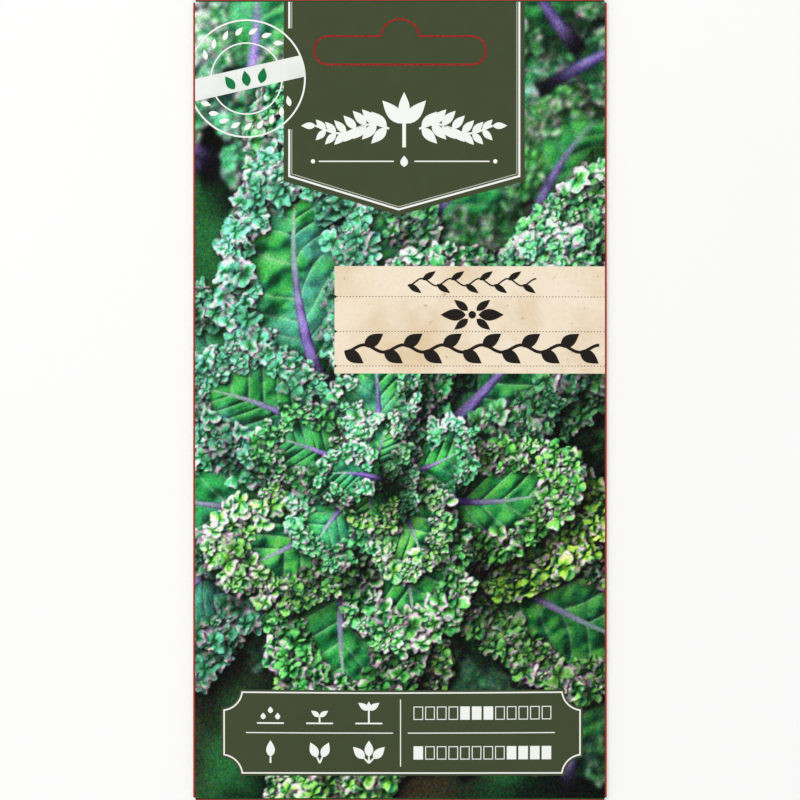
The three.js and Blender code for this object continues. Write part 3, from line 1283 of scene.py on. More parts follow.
    def leaf(self, foot: Point, heading: float, length: float, half: float, look: LeafLook) -> None:
        """Paint one leaf: a stalk, a veined blade and a band of curls all round its edge.

        Args:
            foot: Foot of its stalk.
            heading: Clockwise from +Y, in degrees.
            length: From foot to tip.
            half: Half its width.
            look: Its colouring.
        """
        canvas, sun, rng = self.canvas, self.sun, self.canvas.rng
        turn = math.radians(heading)
        sine, cosine = math.sin(turn), math.cos(turn)
        tip = (foot[0] + length * sine, foot[1] + length * cosine)
        room = 1.5 * half
        low = (min(foot[0], tip[0]) - room, min(foot[1], tip[1]) - room)
        high = (max(foot[0], tip[0]) + room, max(foot[1], tip[1]) + room)
        window = canvas.window(low, high)
        x, y = canvas.places(window)
        if min(x.shape) < self.least:
            return
        noise = {size: canvas.noise(size, window) for size in canvas.fields}
        x, y = x - foot[0], y - foot[1]
        along = x * sine + y * cosine
        bow = rng.uniform(0.15, 0.5) * rng.choice([-1, 1])
        across = x * cosine - y * sine - bow * along * (along / length - self.bend)
        middle = self.widest * length
        reach = np.where(along > middle, self.tip_reach * length, self.foot_reach * length)
        egg = np.hypot(across / half, (along - middle) / reach)
        spread = egg + 0.07 * noise[7.5] + 0.04 * noise[3.6]
        vein = along / half * 3.1 - np.abs(across) / half * 2.6 + 0.25 * noise[7.5]
        furrow = 1 - 2 * np.abs(vein % 1 - 0.5)
        height = 0.2 * half * (1 - np.clip(egg, 0, 1.2) ** 2)
        height += 0.6 * (1 - furrow**3) + 0.55 * noise[1.9] + 0.16 * noise[1.0]
        lit = self.light(height)
        share = along / length
        rib_half = 0.15 * half * np.clip(0.9 - share, 0, 1)
        on_rib = (np.abs(across) < rib_half) & (share > 0)
        mask = ((spread < 0.95) & (along > 0.14 * length)) | on_rib
        below = canvas.colour[window]
        below *= (1 - 0.72 * canvas.shadow(spread < 1.1, 2.6, 1.8))[..., None]
        lit, furrow, egg = lit[mask], furrow[mask], egg[mask]
        colour = mixed(Pigment.BLADE_DEEP.rgb, Pigment.BLADE_LIT.rgb, ramp(lit, 0.2, 0.9))
        colour = mixed(colour, Pigment.BLADE_LIME.rgb, 0.8 * look.warmth * ramp(lit, 0.5, 1.0))
        colour = mixed(colour, Pigment.BLADE_WAX.rgb, 0.8 * look.bloom * ramp(noise[3.6][mask], -1.0, 1.3))
        colour = mixed(colour, Pigment.VEIN.rgb, 0.5 * furrow**6)
        colour = colour * ((0.45 + 0.7 * lit) * (1 - 0.5 * ramp(egg, 0.35, 0.8)))[..., None]
        ribbed = on_rib[mask]
        side = across[mask][ribbed] / rib_half[mask][ribbed]
        bulge = np.sqrt(np.clip(1 - side**2, 0, 1))
        glow = 0.47 * side * (sun[0] * cosine - sun[1] * sine) + 0.75 * bulge
        glow = glow + 0.12 * noise[1.9][mask][ribbed]
        rib = mixed(Pigment.RIB_DEEP.rgb, Pigment.RIB_LIT.rgb, ramp(glow, 0.1, 0.95))
        rib *= (0.12 + 0.88 * ramp(share[mask][ribbed], 0.02, 0.30))[..., None]
        colour[ribbed] = mixed(rib, Pigment.RIB_TIP.rgb, 0.9 * ramp(share[mask][ribbed], 0.42, 0.8))
        below[mask] = np.clip(look.light * colour, 0, 1)
        self.frill(foot, (sine, cosine), length, half, bow, look)

    def frill(
        self, foot: Point, way: Point, length: float, half: float, bow: float, look: LeafLook
    ) -> None:
        """Paint the curls all round a leaf's edge.

        Args:
            foot: Foot of the leaf's stalk.
            way: Sine and cosine of its heading.
            length: From foot to tip.
            half: Half its width.
            bow: How far it is bowed.
            look: Its colouring.
        """
        rng, sun = self.canvas.rng, self.sun
        sine, cosine = way
        grown = half / self.full_half
        spread = (self.tip_reach + self.foot_reach) / 2
        for _ in range(round(self.density * (half + spread * length) * half / self.full_half)):
            bearing = rng.uniform(-2.75, 2.75)
            out = 1.05 - 0.5 * rng.uniform(0, 1) ** 1.6
            end = self.tip_reach if abs(bearing) < math.pi / 2 else self.foot_reach
            up = self.widest * length + out * end * length * math.cos(bearing)
            over = out * half * math.sin(bearing) + bow * up * (up / length - self.bend)
            at = (foot[0] + up * sine + over * cosine, foot[1] + up * cosine - over * sine)
            facing = (over * cosine * sun[0] - over * sine * sun[1]) / half
            size = min(len(self.radii) - 1, int(grown * rng.uniform(0.6, 4.2)))
            curl = self.curls[size * self.kinds + rng.integers(self.kinds)]
            light = look.light * (1 + 0.35 * facing) * rng.uniform(0.75, 1.2) * (0.62 + 0.40 * out)
            self.stamp(curl, at, look, light)

    def thicket(self, count: int, light: Point, feet: Point, frost: float) -> None:
        """Paint leaves at random over the front.

        Args:
            count: Number of leaves.
            light: Range of their brightness.
            feet: Lowest and highest place of their feet.
            frost: How pale their rims are.
        """
        rng = self.canvas.rng
        for _ in range(count):
            look = LeafLook(rng.uniform(*light), rng.uniform(0, 0.9), rng.uniform(0, 0.8), frost)
            foot = (rng.uniform(-46, 46), rng.uniform(*feet))
            self.leaf(foot, rng.uniform(-75, 75), rng.uniform(26, 42), rng.uniform(10, 15), look)

    def paint(self) -> None:
        """Paint the ground, a blurred thicket and the rosette from its outer leaves to its heart."""
        canvas, rng = self.canvas, self.canvas.rng
        self.ground()
        self.thicket(20, (0.95, 1.25), (5, 75), 0.9)
        self.thicket(18, (0.45, 0.75), (-80, 0), 0.45)
        canvas.colour[:] = canvas.softened(canvas.colour, 0.5)
        rings = (
            LeafRing(6, 66, 15, 2.0, (0.80, 1.00)),
            LeafRing(5, 50, 13.5, 2.0, (0.95, 1.10)),
            LeafRing(5, 34, 11, 2.0, (1.00, 1.15)),
            LeafRing(5, 21, 8.0, 1.0, (1.05, 1.20)),
            LeafRing(4, 12, 5.5, -2.5, (1.10, 1.25)),
        )
        for ring in rings:
            start = rng.uniform(0, 360)
            for k in rng.permutation(ring.count):
                heading = start + 360 * k / ring.count + rng.uniform(-9, 9)
                turn = math.radians(heading)
                away = ring.away
                foot = (self.middle[0] + away * math.sin(turn), self.middle[1] + away * math.cos(turn))
                tall = ring.length * (1 + 0.25 * max(0.0, math.cos(turn))) * rng.uniform(0.86, 1.1)
                drift = 0.4 * math.cos(turn - math.radians(120)) * ring.length / 60
                warmth, bloom = rng.uniform(0.2, 0.9) + drift, rng.uniform(0.1, 0.8) - drift
                light = rng.uniform(*ring.light)
                look = LeafLook(light, max(0.0, bloom), max(0.0, warmth), rng.uniform(0.8, 1.0))
                self.leaf(foot, heading, tall, ring.half * rng.uniform(0.9, 1.1), look)
        speckle = rng.normal(0, self.speckle, canvas.colour.shape).astype(np.float32)
        canvas.colour[:] = np.clip(0.365 + 1.12 * (canvas.colour - 0.37) + speckle, 0, 1)


@dataclass(frozen=True)
class PicturePrint:
    """The picture as a film of ink on the front, in strips, left out where flat print covers it.

    Attributes:
        form: The packet's form.
        canvas: The painted picture.
        lift: Height of the ink above the paper.
        cell: Size of a cell of the print.
        strips: Number of strips from the bottom up.
    """

    form: PacketForm
    canvas: Canvas
    lift: float = 0.015
    cell: float = 0.2
    strips: int = 3

    def build(self, covers: Sequence[Window], material: bpy.types.Material) -> list[bpy.types.Object]:
        """Print the picture.

        Args:
            covers: Boxes under flat print, as slices across and along the packet.
            material: The picture's ink.

        Returns:
            One finished film for each strip.
        """
        side, end = self.form.side_fold - FILM_MARGIN, self.form.end_fold - FILM_MARGIN
        height = 2 * end / self.strips
        across, along = round(2 * side / self.cell), round(height / self.cell)
        pieces = []
        for strip in range(self.strips):
            name = f"leaf_picture_{strip + 1}"
            bm = bmesh.new()
            bmesh.ops.create_grid(bm, x_segments=across, y_segments=along, size=1)
            mesh = bpy.data.meshes.new(name)
            bm.to_mesh(mesh)
            co = np.empty(3 * len(mesh.vertices), np.float32)
            mesh.vertices.foreach_get("co", co)
            co = co.reshape(-1, 3)
            chart = (co[:, :2] + 1) / 2
            co[:, 0] *= side
            co[:, 1] = -end + (strip + chart[:, 1]) * height
            co[:, 2] = self.form.outside(co[:, 0], co[:, 1]) + self.lift
            paint = np.ones((len(co), 4), np.float32)
            paint[:, :3] = to_linear(self.canvas.sampled(co[:, 0], co[:, 1]))
            mesh.vertices.foreach_set("co", co.ravel())
            mesh.attributes.new(PAINT, "FLOAT_COLOR", "POINT").data.foreach_set("color", paint.ravel())
            corner = np.empty(len(mesh.loops), np.int32)
            mesh.loops.foreach_get("vertex_index", corner)
            mesh.uv_layers.new(name=BAKE_MAP).data.foreach_set("uv", chart[corner].ravel())
            bm.clear()
            bm.from_mesh(mesh)
            bpy.data.meshes.remove(mesh)
            hidden = np.zeros(len(co), bool)
            for x, y in covers:
                inside_x = (co[:, 0] > x.start) & (co[:, 0] < x.stop)
                hidden |= inside_x & (co[:, 1] > y.start) & (co[:, 1] < y.stop)
            bm.verts.ensure_lookup_table()
            bmesh.ops.delete(bm, geom=[bm.verts[i] for i in np.flatnonzero(hidden)], context="VERTS")
            piece = finished(name, bm, [material])
            piece.data.shade_smooth()
            pieces.append(piece)
        return pieces


@dataclass(frozen=True)
class HeaderBanner:
    """Dark pennant behind the hang slot, with a white border line and a plain sprig ornament.

    Attributes:
        left: Left edge.
        right: Right edge.
        shoulder: Where the sides end.
        tip: Where the point is.
        border: Distance of the border line's middle from the edge.
        gap: The border line's break beside the round stamp.
        red: Width of the red line on each side of the slot's cut.
    """

    left: float = -22.45
    right: float = 24.1
    shoulder: float = 42.3
    tip: Point = (-0.25, 35.65)
    border: float = 1.05
    gap: Point = (52.3, 71.8)
    red: float = 0.13

    def cover(self, form: PacketForm) -> Window:
        """Box that the pennant's ground hides."""
        across = slice(self.left + UNDERLAP, self.right - UNDERLAP)
        return across, slice(self.shoulder + UNDERLAP, form.half_height)

    def build(
        self, form: PacketForm, slot: HangSlot, inks: Mapping[Ink, bpy.types.Material]
    ) -> bpy.types.Object:
        """Print the pennant.

        Args:
            form: The packet's form.
            slot: The hang slot in it.
            inks: The inks' materials.

        Returns:
            The finished film.
        """
        order = (Ink.FOREST, Ink.WHITE, Ink.HAIRLINE, Ink.CUT_LINE)
        layer = PrintLayer("header_banner", form, 0.035, [inks[ink] for ink in order])
        top = form.half_height
        ground = [
            (self.left, top),
            (self.left, self.shoulder),
            self.tip,
            (self.right, self.shoulder),
            (self.right, top),
        ]
        cut = slot.cut / 2
        layer.fill(0, ground, slot.outline(cut))
        layer.fill(0, slot.outline(-cut))
        for outer, inner in ((cut + self.red, cut), (-cut, -cut - self.red)):
            layer.fill(3, slot.outline(outer), slot.outline(inner))
        low, high = self.gap
        for ink, inset, width in ((1, self.border, 0.38), (2, self.border + 0.48, 0.18)):
            left, right = self.left + inset, self.right - inset
            drop = inset * 0.9
            foot = (self.tip[0], self.tip[1] + inset * 1.06)
            corners = [(left, self.shoulder + drop), foot, (right, self.shoulder + drop)]
            layer.line(ink, [(left, low), *corners, (right, top)], width)
            layer.line(ink, [(left, top), (left, high)], width)
        self.sprig(layer)
        return layer.piece()

    def sprig(self, layer: PrintLayer, middle: float = 0.8, height: float = 52.4) -> None:
        """Draw a garland with a seedling at its middle over a fine rule.

        Args:
            layer: The film to draw on.
            middle: The ornament's middle across.
            height: Its middle along.
        """
        for side in (-1, 1):
            way = np.linspace(0, 1, 30)
            vine = [(middle + side * (2.9 + 14.2 * t), height + 0.9 * math.sin(7.0 * t)) for t in way]
            layer.line(1, vine, 0.42)
            for k in range(7):
                x, y = vine[1 + 4 * k]
                for lean in (44, 136):
                    layer.fill(1, leaf_outline(x, y, 4.3 - 0.25 * k, 1.9 - 0.1 * k, side * lean))
            layer.fill(1, leaf_outline(*vine[-1], 2.8, 1.3, side * 90))
            layer.fill(1, leaf_outline(middle + side * 0.2, height + 1.0, 6.0, 2.6, side * 42))
            layer.line(1, [(middle + side * 2.0, height - 6.3), (middle + side * 16.5, height - 6.3)], 0.25)
            layer.dot(1, middle + side * 17.6, height - 6.3, 0.42)
        layer.line(1, [(middle, height - 3.6), (middle, height + 1.8)], 0.7)
        layer.fill(1, leaf_outline(middle, height + 1.5, 5.6, 2.2, 0))
        layer.fill(1, leaf_outline(middle, height - 7.4, 2.2, 1.5, 0))


@dataclass(frozen=True)
class RoundStamp:
    """White ring stamp with small leaves between its rings and a plain band across, run off the left edge.

    Attributes:
        x: Centre across.
        y: Centre along.
        radius: Of the outer ring.
        inner: Radius of the inner ring.
        band: Width of the band.
        tilt: How far the band rises to the right, in degrees.
    """

    x: float = -29.65
    y: float = 62.1
    radius: float = 11.45
    inner: float = 7.0
    band: float = 4.2
    tilt: float = 12.7

    def build(self, form: PacketForm, inks: Mapping[Ink, bpy.types.Material]) -> bpy.types.Object:
        """Print the stamp.

        Args:
            form: The packet's form.
            inks: The inks' materials.

        Returns:
            The finished film.
        """
        layer = PrintLayer("round_stamp", form, 0.075, [inks[Ink.WHITE], inks[Ink.VEIL], inks[Ink.LEAF]])
        lean = math.radians(self.tilt)
        for radius, line in ((self.radius, 0.34), (self.inner, 0.28)):
            for start in (lean, lean + math.pi):
                loops = []
                for r in (radius, radius - line):
                    clear = math.asin(self.band / 2 / r)
                    loops.append(arc(self.x, self.y, r, start + clear, start + math.pi - clear, 48))
                layer.fill(0, loops[0] + loops[1][::-1])
        clear = math.asin(self.band / 2 / self.radius)
        ends = [
            arc(self.x, self.y, self.radius, lean + k * math.pi - clear, lean + k * math.pi + clear, 8)
            for k in (0, 1)
        ]
        layer.fill(1, ends[0] + ends[1])
        middle = (self.radius + self.inner) / 2
        for turn in (*range(-60, 45, 17), *range(118, 240, 15)):
            angle = math.radians(turn)
            heading = angle + math.radians(48 if turn < 90 else -132)
            x = self.x + middle * math.sin(angle) - 1.05 * math.sin(heading)
            y = self.y + middle * math.cos(angle) - 1.05 * math.cos(heading)
            layer.fill(0, leaf_outline(x, y, 2.1, 1.0, math.degrees(heading)))
        for k in (-1, 0, 1):
            x, y = self.x + 2.6 * k * math.cos(lean), self.y + 2.6 * k * math.sin(lean)
            layer.fill(2, leaf_outline(x + 0.25, y - 1.5, 3.1, 1.7, -self.tilt + 24 * k))
        return layer.piece()


@dataclass(frozen=True)
class NameLabel:
    """Cream label that runs off the right edge, ruled with dotted lines and filled with leaf ornaments.

    Attributes:
        left: Left edge.
        top: Upper edge.
        bottom: Lower edge.
        rules: Heights of the dotted lines.
        middle: Middle of the ornaments across.
    """

    left: float = -12.6
    top: float = 25.8
    bottom: float = 5.1
    rules: tuple[float, float, float] = (19.9, 13.2, 6.55)
    middle: float = 13.9

    def cover(self, form: PacketForm) -> Window:
        """Box that the label hides."""
        across = slice(self.left + UNDERLAP, form.half_width)
        return across, slice(self.bottom + UNDERLAP, self.top - UNDERLAP)

    def build(self, form: PacketForm, inks: Mapping[Ink, bpy.types.Material]) -> bpy.types.Object:
        """Print the label.

        Args:
            form: The packet's form.
            inks: The inks' materials.

        Returns:
            The finished film.
        """
        layer = PrintLayer("name_label", form, 0.035, [inks[Ink.CREAM], inks[Ink.BLACK]])
        right = form.half_width
        layer.block(0, self.left, self.bottom, right, self.top)
        for y in self.rules:
            layer.dots(1, self.left + 0.4, right, y)
            layer.fill(1, [(self.left, y - 0.35), (self.left + 0.55, y), (self.left, y + 0.35)])
        self.vine(layer, (self.middle, 22.7), half=12.4, line=0.3, leaf=(3.1, 1.2), count=9)
        self.fleuron(layer, (self.middle, 16.4))
        self.vine(layer, (self.middle, 9.9), half=24.6, line=0.6, leaf=(4.4, 2.4), count=13)
        return layer.piece()

    def fleuron(self, layer: PrintLayer, middle: Point) -> None:
        """Draw a small bold ornament of leaves either side of a dot."""
        x, y = middle
        layer.dot(1, x, y, 0.75)
        for side in (-1, 1):
            layer.fill(1, leaf_outline(x + side * 1.2, y, 4.9, 2.3, side * 90))
            layer.fill(1, leaf_outline(x + side * 0.8, y + 0.8, 3.4, 1.5, side * 52))
            layer.fill(1, leaf_outline(x + side * 0.8, y - 0.8, 3.4, 1.5, side * 128))

    def vine(
        self, layer: PrintLayer, middle: Point, half: float, line: float, leaf: Point, count: int
    ) -> None:
        """Draw a wavy vine with a leaf in each bend.

        Args:
            layer: The film to draw on.
            middle: Its middle across and along.
            half: Half its length.
            line: Width of the stem.
            leaf: Length and width of a leaf.
            count: Number of leaves.
        """
        x, y = middle
        swing = 0.7
        wave = math.pi * count / (2 * half)
        way = np.linspace(-half, half, 10 * count)
        layer.line(1, [(x + d, y + swing * math.sin(wave * d)) for d in way], line)
        for k in range(count):
            d = half * ((2 * k + 1) / count - 1) - 0.42 * leaf[0]
            side = 1 if k % 2 else -1
            foot = (x + d, y + swing * math.sin(wave * d) - 0.3 * side)
            layer.fill(1, leaf_outline(*foot, *leaf, 90 - side * 34))


@dataclass(frozen=True)
class SeasonPanel:
    """Dark panel with notched corners: pictures of sowing and harvest, each with its twelve months.

    Attributes:
        left: Left edge of the ground.
        right: Right edge of the ground.
        bottom: Lower edge of the ground.
        top: Upper edge of the ground.
        notch: Radius of the corner notches.
        inset: Distance of the outline from the edge.
        middle: Place of the divider.
        rule: Height of the cross line.
        month: Width and height of a month.
    """

    left: float = -34.5
    right: float = 35.3
    bottom: float = -72.55
    top: float = -55.85
    notch: float = 3.55
    inset: float = 0.53
    middle: float = 0.1
    rule: float = -64.2
    month: Point = (1.85, 2.6)

    def cover(self, form: PacketForm) -> Window:
        """Box that the panel's ground hides, clear of its notched ends."""
        across = slice(self.left + self.notch, self.right - self.notch)
        return across, slice(self.bottom + UNDERLAP, self.top - UNDERLAP)

    def outline(self, inset: float) -> list[Point]:
        """Outline of the panel inside its edge."""
        radius = self.notch + inset
        lean = math.asin(inset / radius)
        points: list[Point] = []
        corners = ((self.right, self.top, math.pi), (self.left, self.top, 1.5 * math.pi))
        corners += ((self.left, self.bottom, 0.0), (self.right, self.bottom, 0.5 * math.pi))
        for x, y, start in corners:
            points += arc(x, y, radius, start + math.pi / 2 - lean, start + lean, 10)
        return points

    def build(self, form: PacketForm, inks: Mapping[Ink, bpy.types.Material]) -> bpy.types.Object:
        """Print the panel.

        Args:
            form: The packet's form.
            inks: The inks' materials.

        Returns:
            The finished film.
        """
        layer = PrintLayer("season_panel", form, 0.035, [inks[Ink.FOREST], inks[Ink.WHITE]])
        layer.fill(0, self.outline(0))
        layer.fill(1, self.outline(self.inset - 0.14), self.outline(self.inset + 0.14))
        layer.line(1, [(self.middle, self.top - 1.8), (self.middle, self.bottom + 1.8)], 0.2)
        for start, stop in ((-29.75, -1.35), (1.5, 29.9)):
            layer.line(1, [(start, self.rule), (stop, self.rule)], 0.2)
        upper = (self.top + self.rule) / 2 - 0.3
        lower = (self.bottom + self.rule) / 2 + 0.3
        for y, marked in ((upper, SOWING), (lower, HARVEST)):
            layer.months(1, 2.6, y - self.month[1] / 2, self.month, 0.4, 0.17, marked)
        for k, x in enumerate((-25.0, -15.5, -6.0)):
            self.seedling(layer, x, upper - 2.0, k)
            self.bunch(layer, x, lower - 2.0, k)
        return layer.piece()

    def seedling(self, layer: PrintLayer, x: float, y: float, stage: int) -> None:
        """Draw a stage of sowing on its strip of soil: seeds, a sprout, a seedling.

        Args:
            layer: The film to draw on.
            x: Middle across.
            y: Height of the soil.
            stage: 0, 1 or 2.
        """
        layer.line(1, [(x - 2.6, y), (x + 2.6, y)], 0.3)
        if stage == 0:
            for d, rise in ((-1.4, 1.1), (0.0, 2.3), (1.4, 1.1)):
                layer.fill(1, leaf_outline(x + d, y + rise - 0.4, 1.3, 1.0, 0))
            return
        layer.line(1, [(x, y), (x, y + 1.4 * stage)], 0.34)
        for side in (-1, 1):
            layer.fill(1, leaf_outline(x, y + 1.3 * stage, 1.5 + 0.5 * stage, 0.8 + 0.2 * stage, side * 55))
        if stage == 2:
            layer.fill(1, leaf_outline(x, y + 2.7, 1.6, 0.8, 0))

    def bunch(self, layer: PrintLayer, x: float, y: float, stage: int) -> None:
        """Draw a stage of harvest: a leaf, a pair, a bunch.

        Args:
            layer: The film to draw on.
            x: Middle across.
            y: Foot of the leaves.
            stage: 0, 1 or 2.
        """
        for lean in ((0,), (-24, 24), (-44, 0, 44))[stage]:
            turn = math.radians(lean)
            foot = (x + 1.2 * math.sin(turn), y + 1.2 * math.cos(turn))
            layer.line(1, [(x, y), foot], 0.34)
            layer.fill(1, leaf_outline(*foot, 3.2, 1.7, lean))


@dataclass(frozen=True)
class BackPrint:
    """Green print on the cream back: pictograms, a sowing diagram, month rows and dotted note lines.

    Attributes:
        columns: Left and right edges of the print on each wing, clear of the lapped seam.
        bottom: Lower edge.
        top: Upper edge.
        month: Width and height of a month.
    """

    columns: tuple[Point, Point] = ((-36.0, -11.5), (-3.5, 36.0))
    bottom: float = -60.0
    top: float = 54.0
    month: Point = (2.1, 4.0)

    def build(self, form: PacketForm, inks: Mapping[Ink, bpy.types.Material]) -> bpy.types.Object:
        """Print the back.

        Args:
            form: The packet's form.
            inks: The inks' materials.

        Returns:
            The finished film.
        """
        layer = PrintLayer("back_print", form, 0.015, [inks[Ink.FOREST]], back=True)
        for left, right in self.columns:
            layer.frame(0, left, self.bottom, right, self.top, 0.35)
            for row in range(6):
                layer.dots(0, left + 3, right - 3, self.bottom + 5 + 5.5 * row)
        self.pictograms(layer)
        self.diagram(layer)
        return layer.piece()

    def pictograms(self, layer: PrintLayer, radius: float = 8.0) -> None:
        """Draw a sun, a drop and a seedling in rings.

        Args:
            layer: The film to draw on.
            radius: Of each ring.
        """
        x = sum(self.columns[0]) / 2
        for place in range(3):
            y = self.top - 12 - 20.5 * place
            layer.ring(0, x, y, radius, 0.5)
            if place == 0:
                layer.dot(0, x, y, 2.2, 24)
                for ray in np.arange(0, math.tau, math.pi / 5):
                    way = np.array([math.sin(ray), math.cos(ray)])
                    layer.line(0, [tuple((x, y) + 3.1 * way), tuple((x, y) + 5.6 * way)], 0.6)
            elif place == 1:
                layer.fill(0, leaf_outline(x, y + 5.2, 9.6, 5.4, 180, 16))
            else:
                layer.line(0, [(x, y - 5), (x, y + 0.5)], 0.8)
                for side in (-1, 1):
                    layer.fill(0, leaf_outline(x, y, 6.2, 3.0, side * 45))

    def diagram(self, layer: PrintLayer) -> None:
        """Draw seeds in the soil, the plants that grow from them and a row of months for each step.

        Args:
            layer: The film to draw on.
        """
        left, right = self.columns[1]
        soil = self.top - 24.0
        layer.line(0, [(left + 4, soil), (right - 4, soil)], 0.45)
        for k in range(4):
            x = left + 8 + 8 * k
            layer.fill(0, leaf_outline(x, soil - 3.6, 1.9, 1.4, 0))
            layer.line(0, [(x, soil + 0.3), (x, soil + 2.2 + 2 * k)], 0.5)
            for lean in (-58, 58) if k < 2 else (-70, -35, 0, 35, 70):
                layer.fill(0, leaf_outline(x, soil + 2.0 + 2 * k, 2.4 + 0.5 * k, 1.2 + 0.2 * k, lean))
        for row, marked in enumerate((SOWING, HARVEST)):
            layer.months(0, left + 4.5, soil - 15 - 12 * row, self.month, 0.5, 0.22, marked)


@dataclass(frozen=True)
class SeedHeap:
    """The seeds: dark brown, slightly flattened, one deep in close rows.

    Attributes:
        spacing: Distance between seeds in a row.
        radius: Of the largest seed.
        seed: Of the random draws.
    """

    spacing: float = 1.7
    radius: float = 0.93
    seed: int = 5

    def build(self, material: bpy.types.Material) -> bpy.types.Object:
        """Lay the seeds over the patch that they hold in the CAD.

        Args:
            material: The seeds' finish.

        Returns:
            The finished piece.
        """
        low, high = (np.array(corner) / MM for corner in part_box("seed_heap"))
        middle, half = (low + high) / 2, (high - low) / 2 - self.radius
        rng = np.random.default_rng(self.seed)
        bm = bmesh.new()
        pitch = self.spacing * math.sqrt(0.75)
        rows = int(half[1] / pitch)
        for row in range(-rows, rows + 1):
            y = row * pitch
            reach = half[0] * math.sqrt(max(0.0, 1 - (y / (half[1] + 0.2)) ** 2)) + 0.1
            offset = self.spacing / 2 if row % 2 else 0.0
            for x in np.arange(-half[0] + offset, half[0] + 0.1, self.spacing):
                if abs(x) > reach:
                    continue
                place = Matrix.Translation((middle[0] + x, middle[1] + y, low[2] + self.radius))
                size = np.array([1, 0.94, 0.88]) * rng.uniform(0.9, 1.0)
                turned = Matrix.Rotation(rng.uniform(0, math.tau), 4, Vector(rng.normal(size=3)).normalized())
                shape = place @ turned @ Matrix.Diagonal((*size, 1))
                bmesh.ops.create_icosphere(bm, subdivisions=2, radius=self.radius, matrix=shape)
        heap = finished("seed_heap_fine", bm, [material])
        heap.data.shade_smooth()
        return heap


@dataclass(frozen=True)
class Studio:
    """Plain pale floor, even soft light and a long lens straight above the packet.

    Attributes:
        lens: Focal length.
        sensor: Width of the sensor.
        light: Strength of the even light.
        floor_gap: How far the floor is below the packet.
        crop: How much of the packet's height is out of the frame.
        floor: Half the floor's width.
        key_power: Power of the soft key light, in watts.
        key_size: Width of the key light, in metres.
        key_place: Place of the key light, in metres.
    """

    lens: float = 120.0
    sensor: float = 36.0
    light: float = 0.82
    floor_gap: float = 0.02
    crop: float = 0.4
    floor: float = 3000.0
    key_power: float = 1.7
    key_size: float = 0.5
    key_place: tuple[float, float, float] = (-0.35, 0.3, 0.75)

    def build(self, form: PacketForm) -> None:
        """Set up the floor, the lights and the camera.

        Args:
            form: The packet's form.
        """
        bm = bmesh.new()
        bmesh.ops.create_grid(bm, x_segments=4, y_segments=4, size=self.floor)
        bmesh.ops.translate(bm, verts=bm.verts, vec=Vector((0, 0, -self.floor_gap)))
        paint = Finish("pale_floor", "#fbfbfa", "#ffffff", blotch=200.0, roughness=0.9).material()
        floor = finished("floor", bm, [paint])
        scene = bpy.context.scene
        scene.view_settings.view_transform = "Standard"
        world = bpy.data.worlds.new("studio")
        scene.world = world
        world.use_nodes = True
        world.node_tree.nodes["Background"].inputs["Color"].default_value = (1, 1, 1, 1)
        world.node_tree.nodes["Background"].inputs["Strength"].default_value = self.light
        key = bpy.data.lights.new("key", "AREA")
        key.energy = self.key_power
        key.size = self.key_size
        lamp = bpy.data.objects.new("key", key)
        lamp.location = self.key_place
        lamp.rotation_euler = (-Vector(lamp.location)).to_track_quat("-Z", "Y").to_euler()
        scene.collection.objects.link(lamp)
        camera = bpy.data.cameras.new("camera")
        camera.lens = self.lens
        camera.sensor_width = self.sensor
        eye = bpy.data.objects.new("camera", camera)
        distance = (2 * form.half_height - self.crop) * self.lens / self.sensor
        eye.location = (0, 0, (form.level(3) + distance) * MM)
        scene.collection.objects.link(eye)
        scene.camera = eye


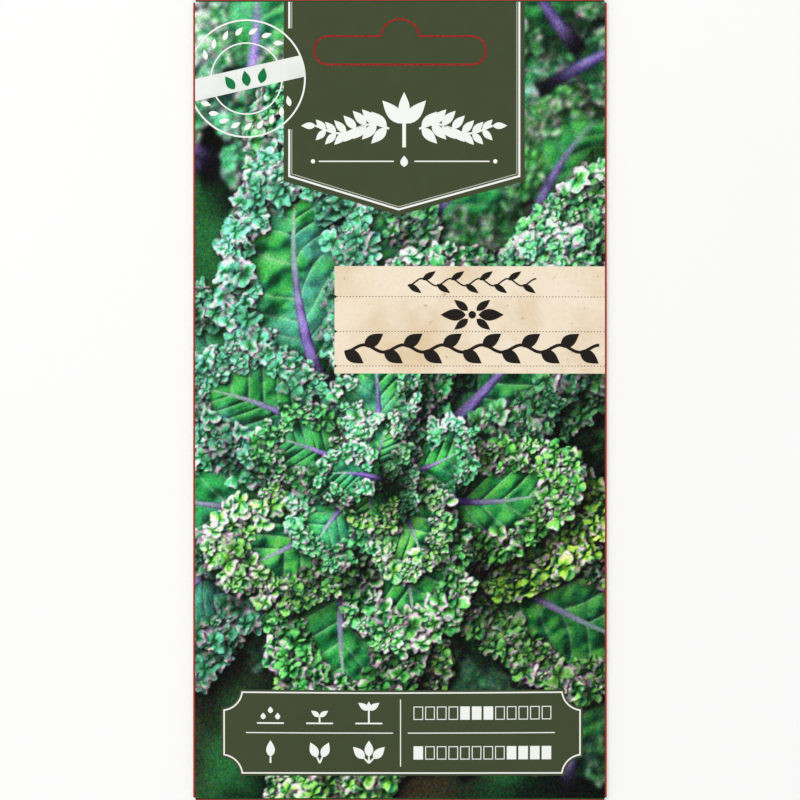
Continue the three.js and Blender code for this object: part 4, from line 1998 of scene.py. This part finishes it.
def main() -> None:
    """Build the packet, its print, its seeds and the studio round it."""
    logging.basicConfig(level=logging.INFO, format="%(name)s %(message)s")
    form = PacketForm.of_frame()
    slot = HangSlot()
    Studio().build(form)
    # Offset ink on coated stock: flat, satin tones that drift a little where the film is thinner.
    flat = {ink: Finish(f"{ink.name.lower()}_ink", ink.full, ink.thin, 4.0, SATIN).material() for ink in Ink}
    # Print of an old label: cream clouded by tan stains, so it reads as aged paper beside the fresh inks.
    flat[Ink.CREAM] = AgedLabel(
        "aged_label_ink", Ink.CREAM.full, Ink.CREAM.thin, blotch=8.0, roughness=0.55
    ).material()
    # Coated paper: a tight satin surface, printed to the trim line.
    outside = PrintedSheet(
        "printed_coated_paper", "#173a24", "#2c5a37", blotch=7.0, roughness=0.46
    ).material()
    # The sheet's bare inner side: soft, matt and off-white.
    inside = Finish("uncoated_paper", "#f3f0e8", "#ebe6da", blotch=4.0, roughness=0.8).material()
    sheet = FoldedSheet(form, slot).build(outside, inside)
    placed(sheet, "printed_paper", "paper_sheet")
    canvas = Canvas(2 * form.half_width, 2 * form.half_height)
    LeafPicture(canvas).paint()
    # Full-colour halftone: crisp leaf colours under a fine grain.
    ink = PictureInk("picture_ink", "#4e7457", "#4e7457", blotch=0.45, roughness=SATIN).material()
    header, label, panel = HeaderBanner(), NameLabel(), SeasonPanel()
    covers = [part.cover(form) for part in (header, label, panel)]
    for piece in PicturePrint(form, canvas).build(covers, ink):
        placed(piece, "printed_paper")
    placed(header.build(form, slot, flat), "printed_paper")
    placed(RoundStamp().build(form, flat), "printed_paper")
    placed(label.build(form, flat), "printed_paper")
    placed(panel.build(form, flat), "printed_paper")
    placed(BackPrint().build(form, flat), "printed_paper")
    # Dry seed coat: dark brown, finely pitted and slightly waxy.
    coat = Finish(
        "seed_coat", "#3a2723", "#5a3f35", blotch=1.5, roughness=0.55,
        ior=1.5, sheen=0.5, grain=0.12, relief=0.02
    ).material()
    placed(SeedHeap().build(coat), "seed", "seed_heap")
    # Dried dispersion glue: a thin, smooth, yellowish film with a dull shine.
    glue = Finish(
        "dried_glue", "#efe8d6", "#e2d8c0", blotch=5.0, roughness=0.35,
        ior=1.47, sheen=0.5, grain=0.8, relief=0.01
    ).material()
    for node in ("glue_back_seam", "glue_bottom_flap", "glue_top_flap"):
        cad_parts[node].data.materials.clear()
        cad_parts[node].data.materials.append(glue)
        LOG.info("%s: CAD solid", node)


if __name__ == "__main__":
    main()
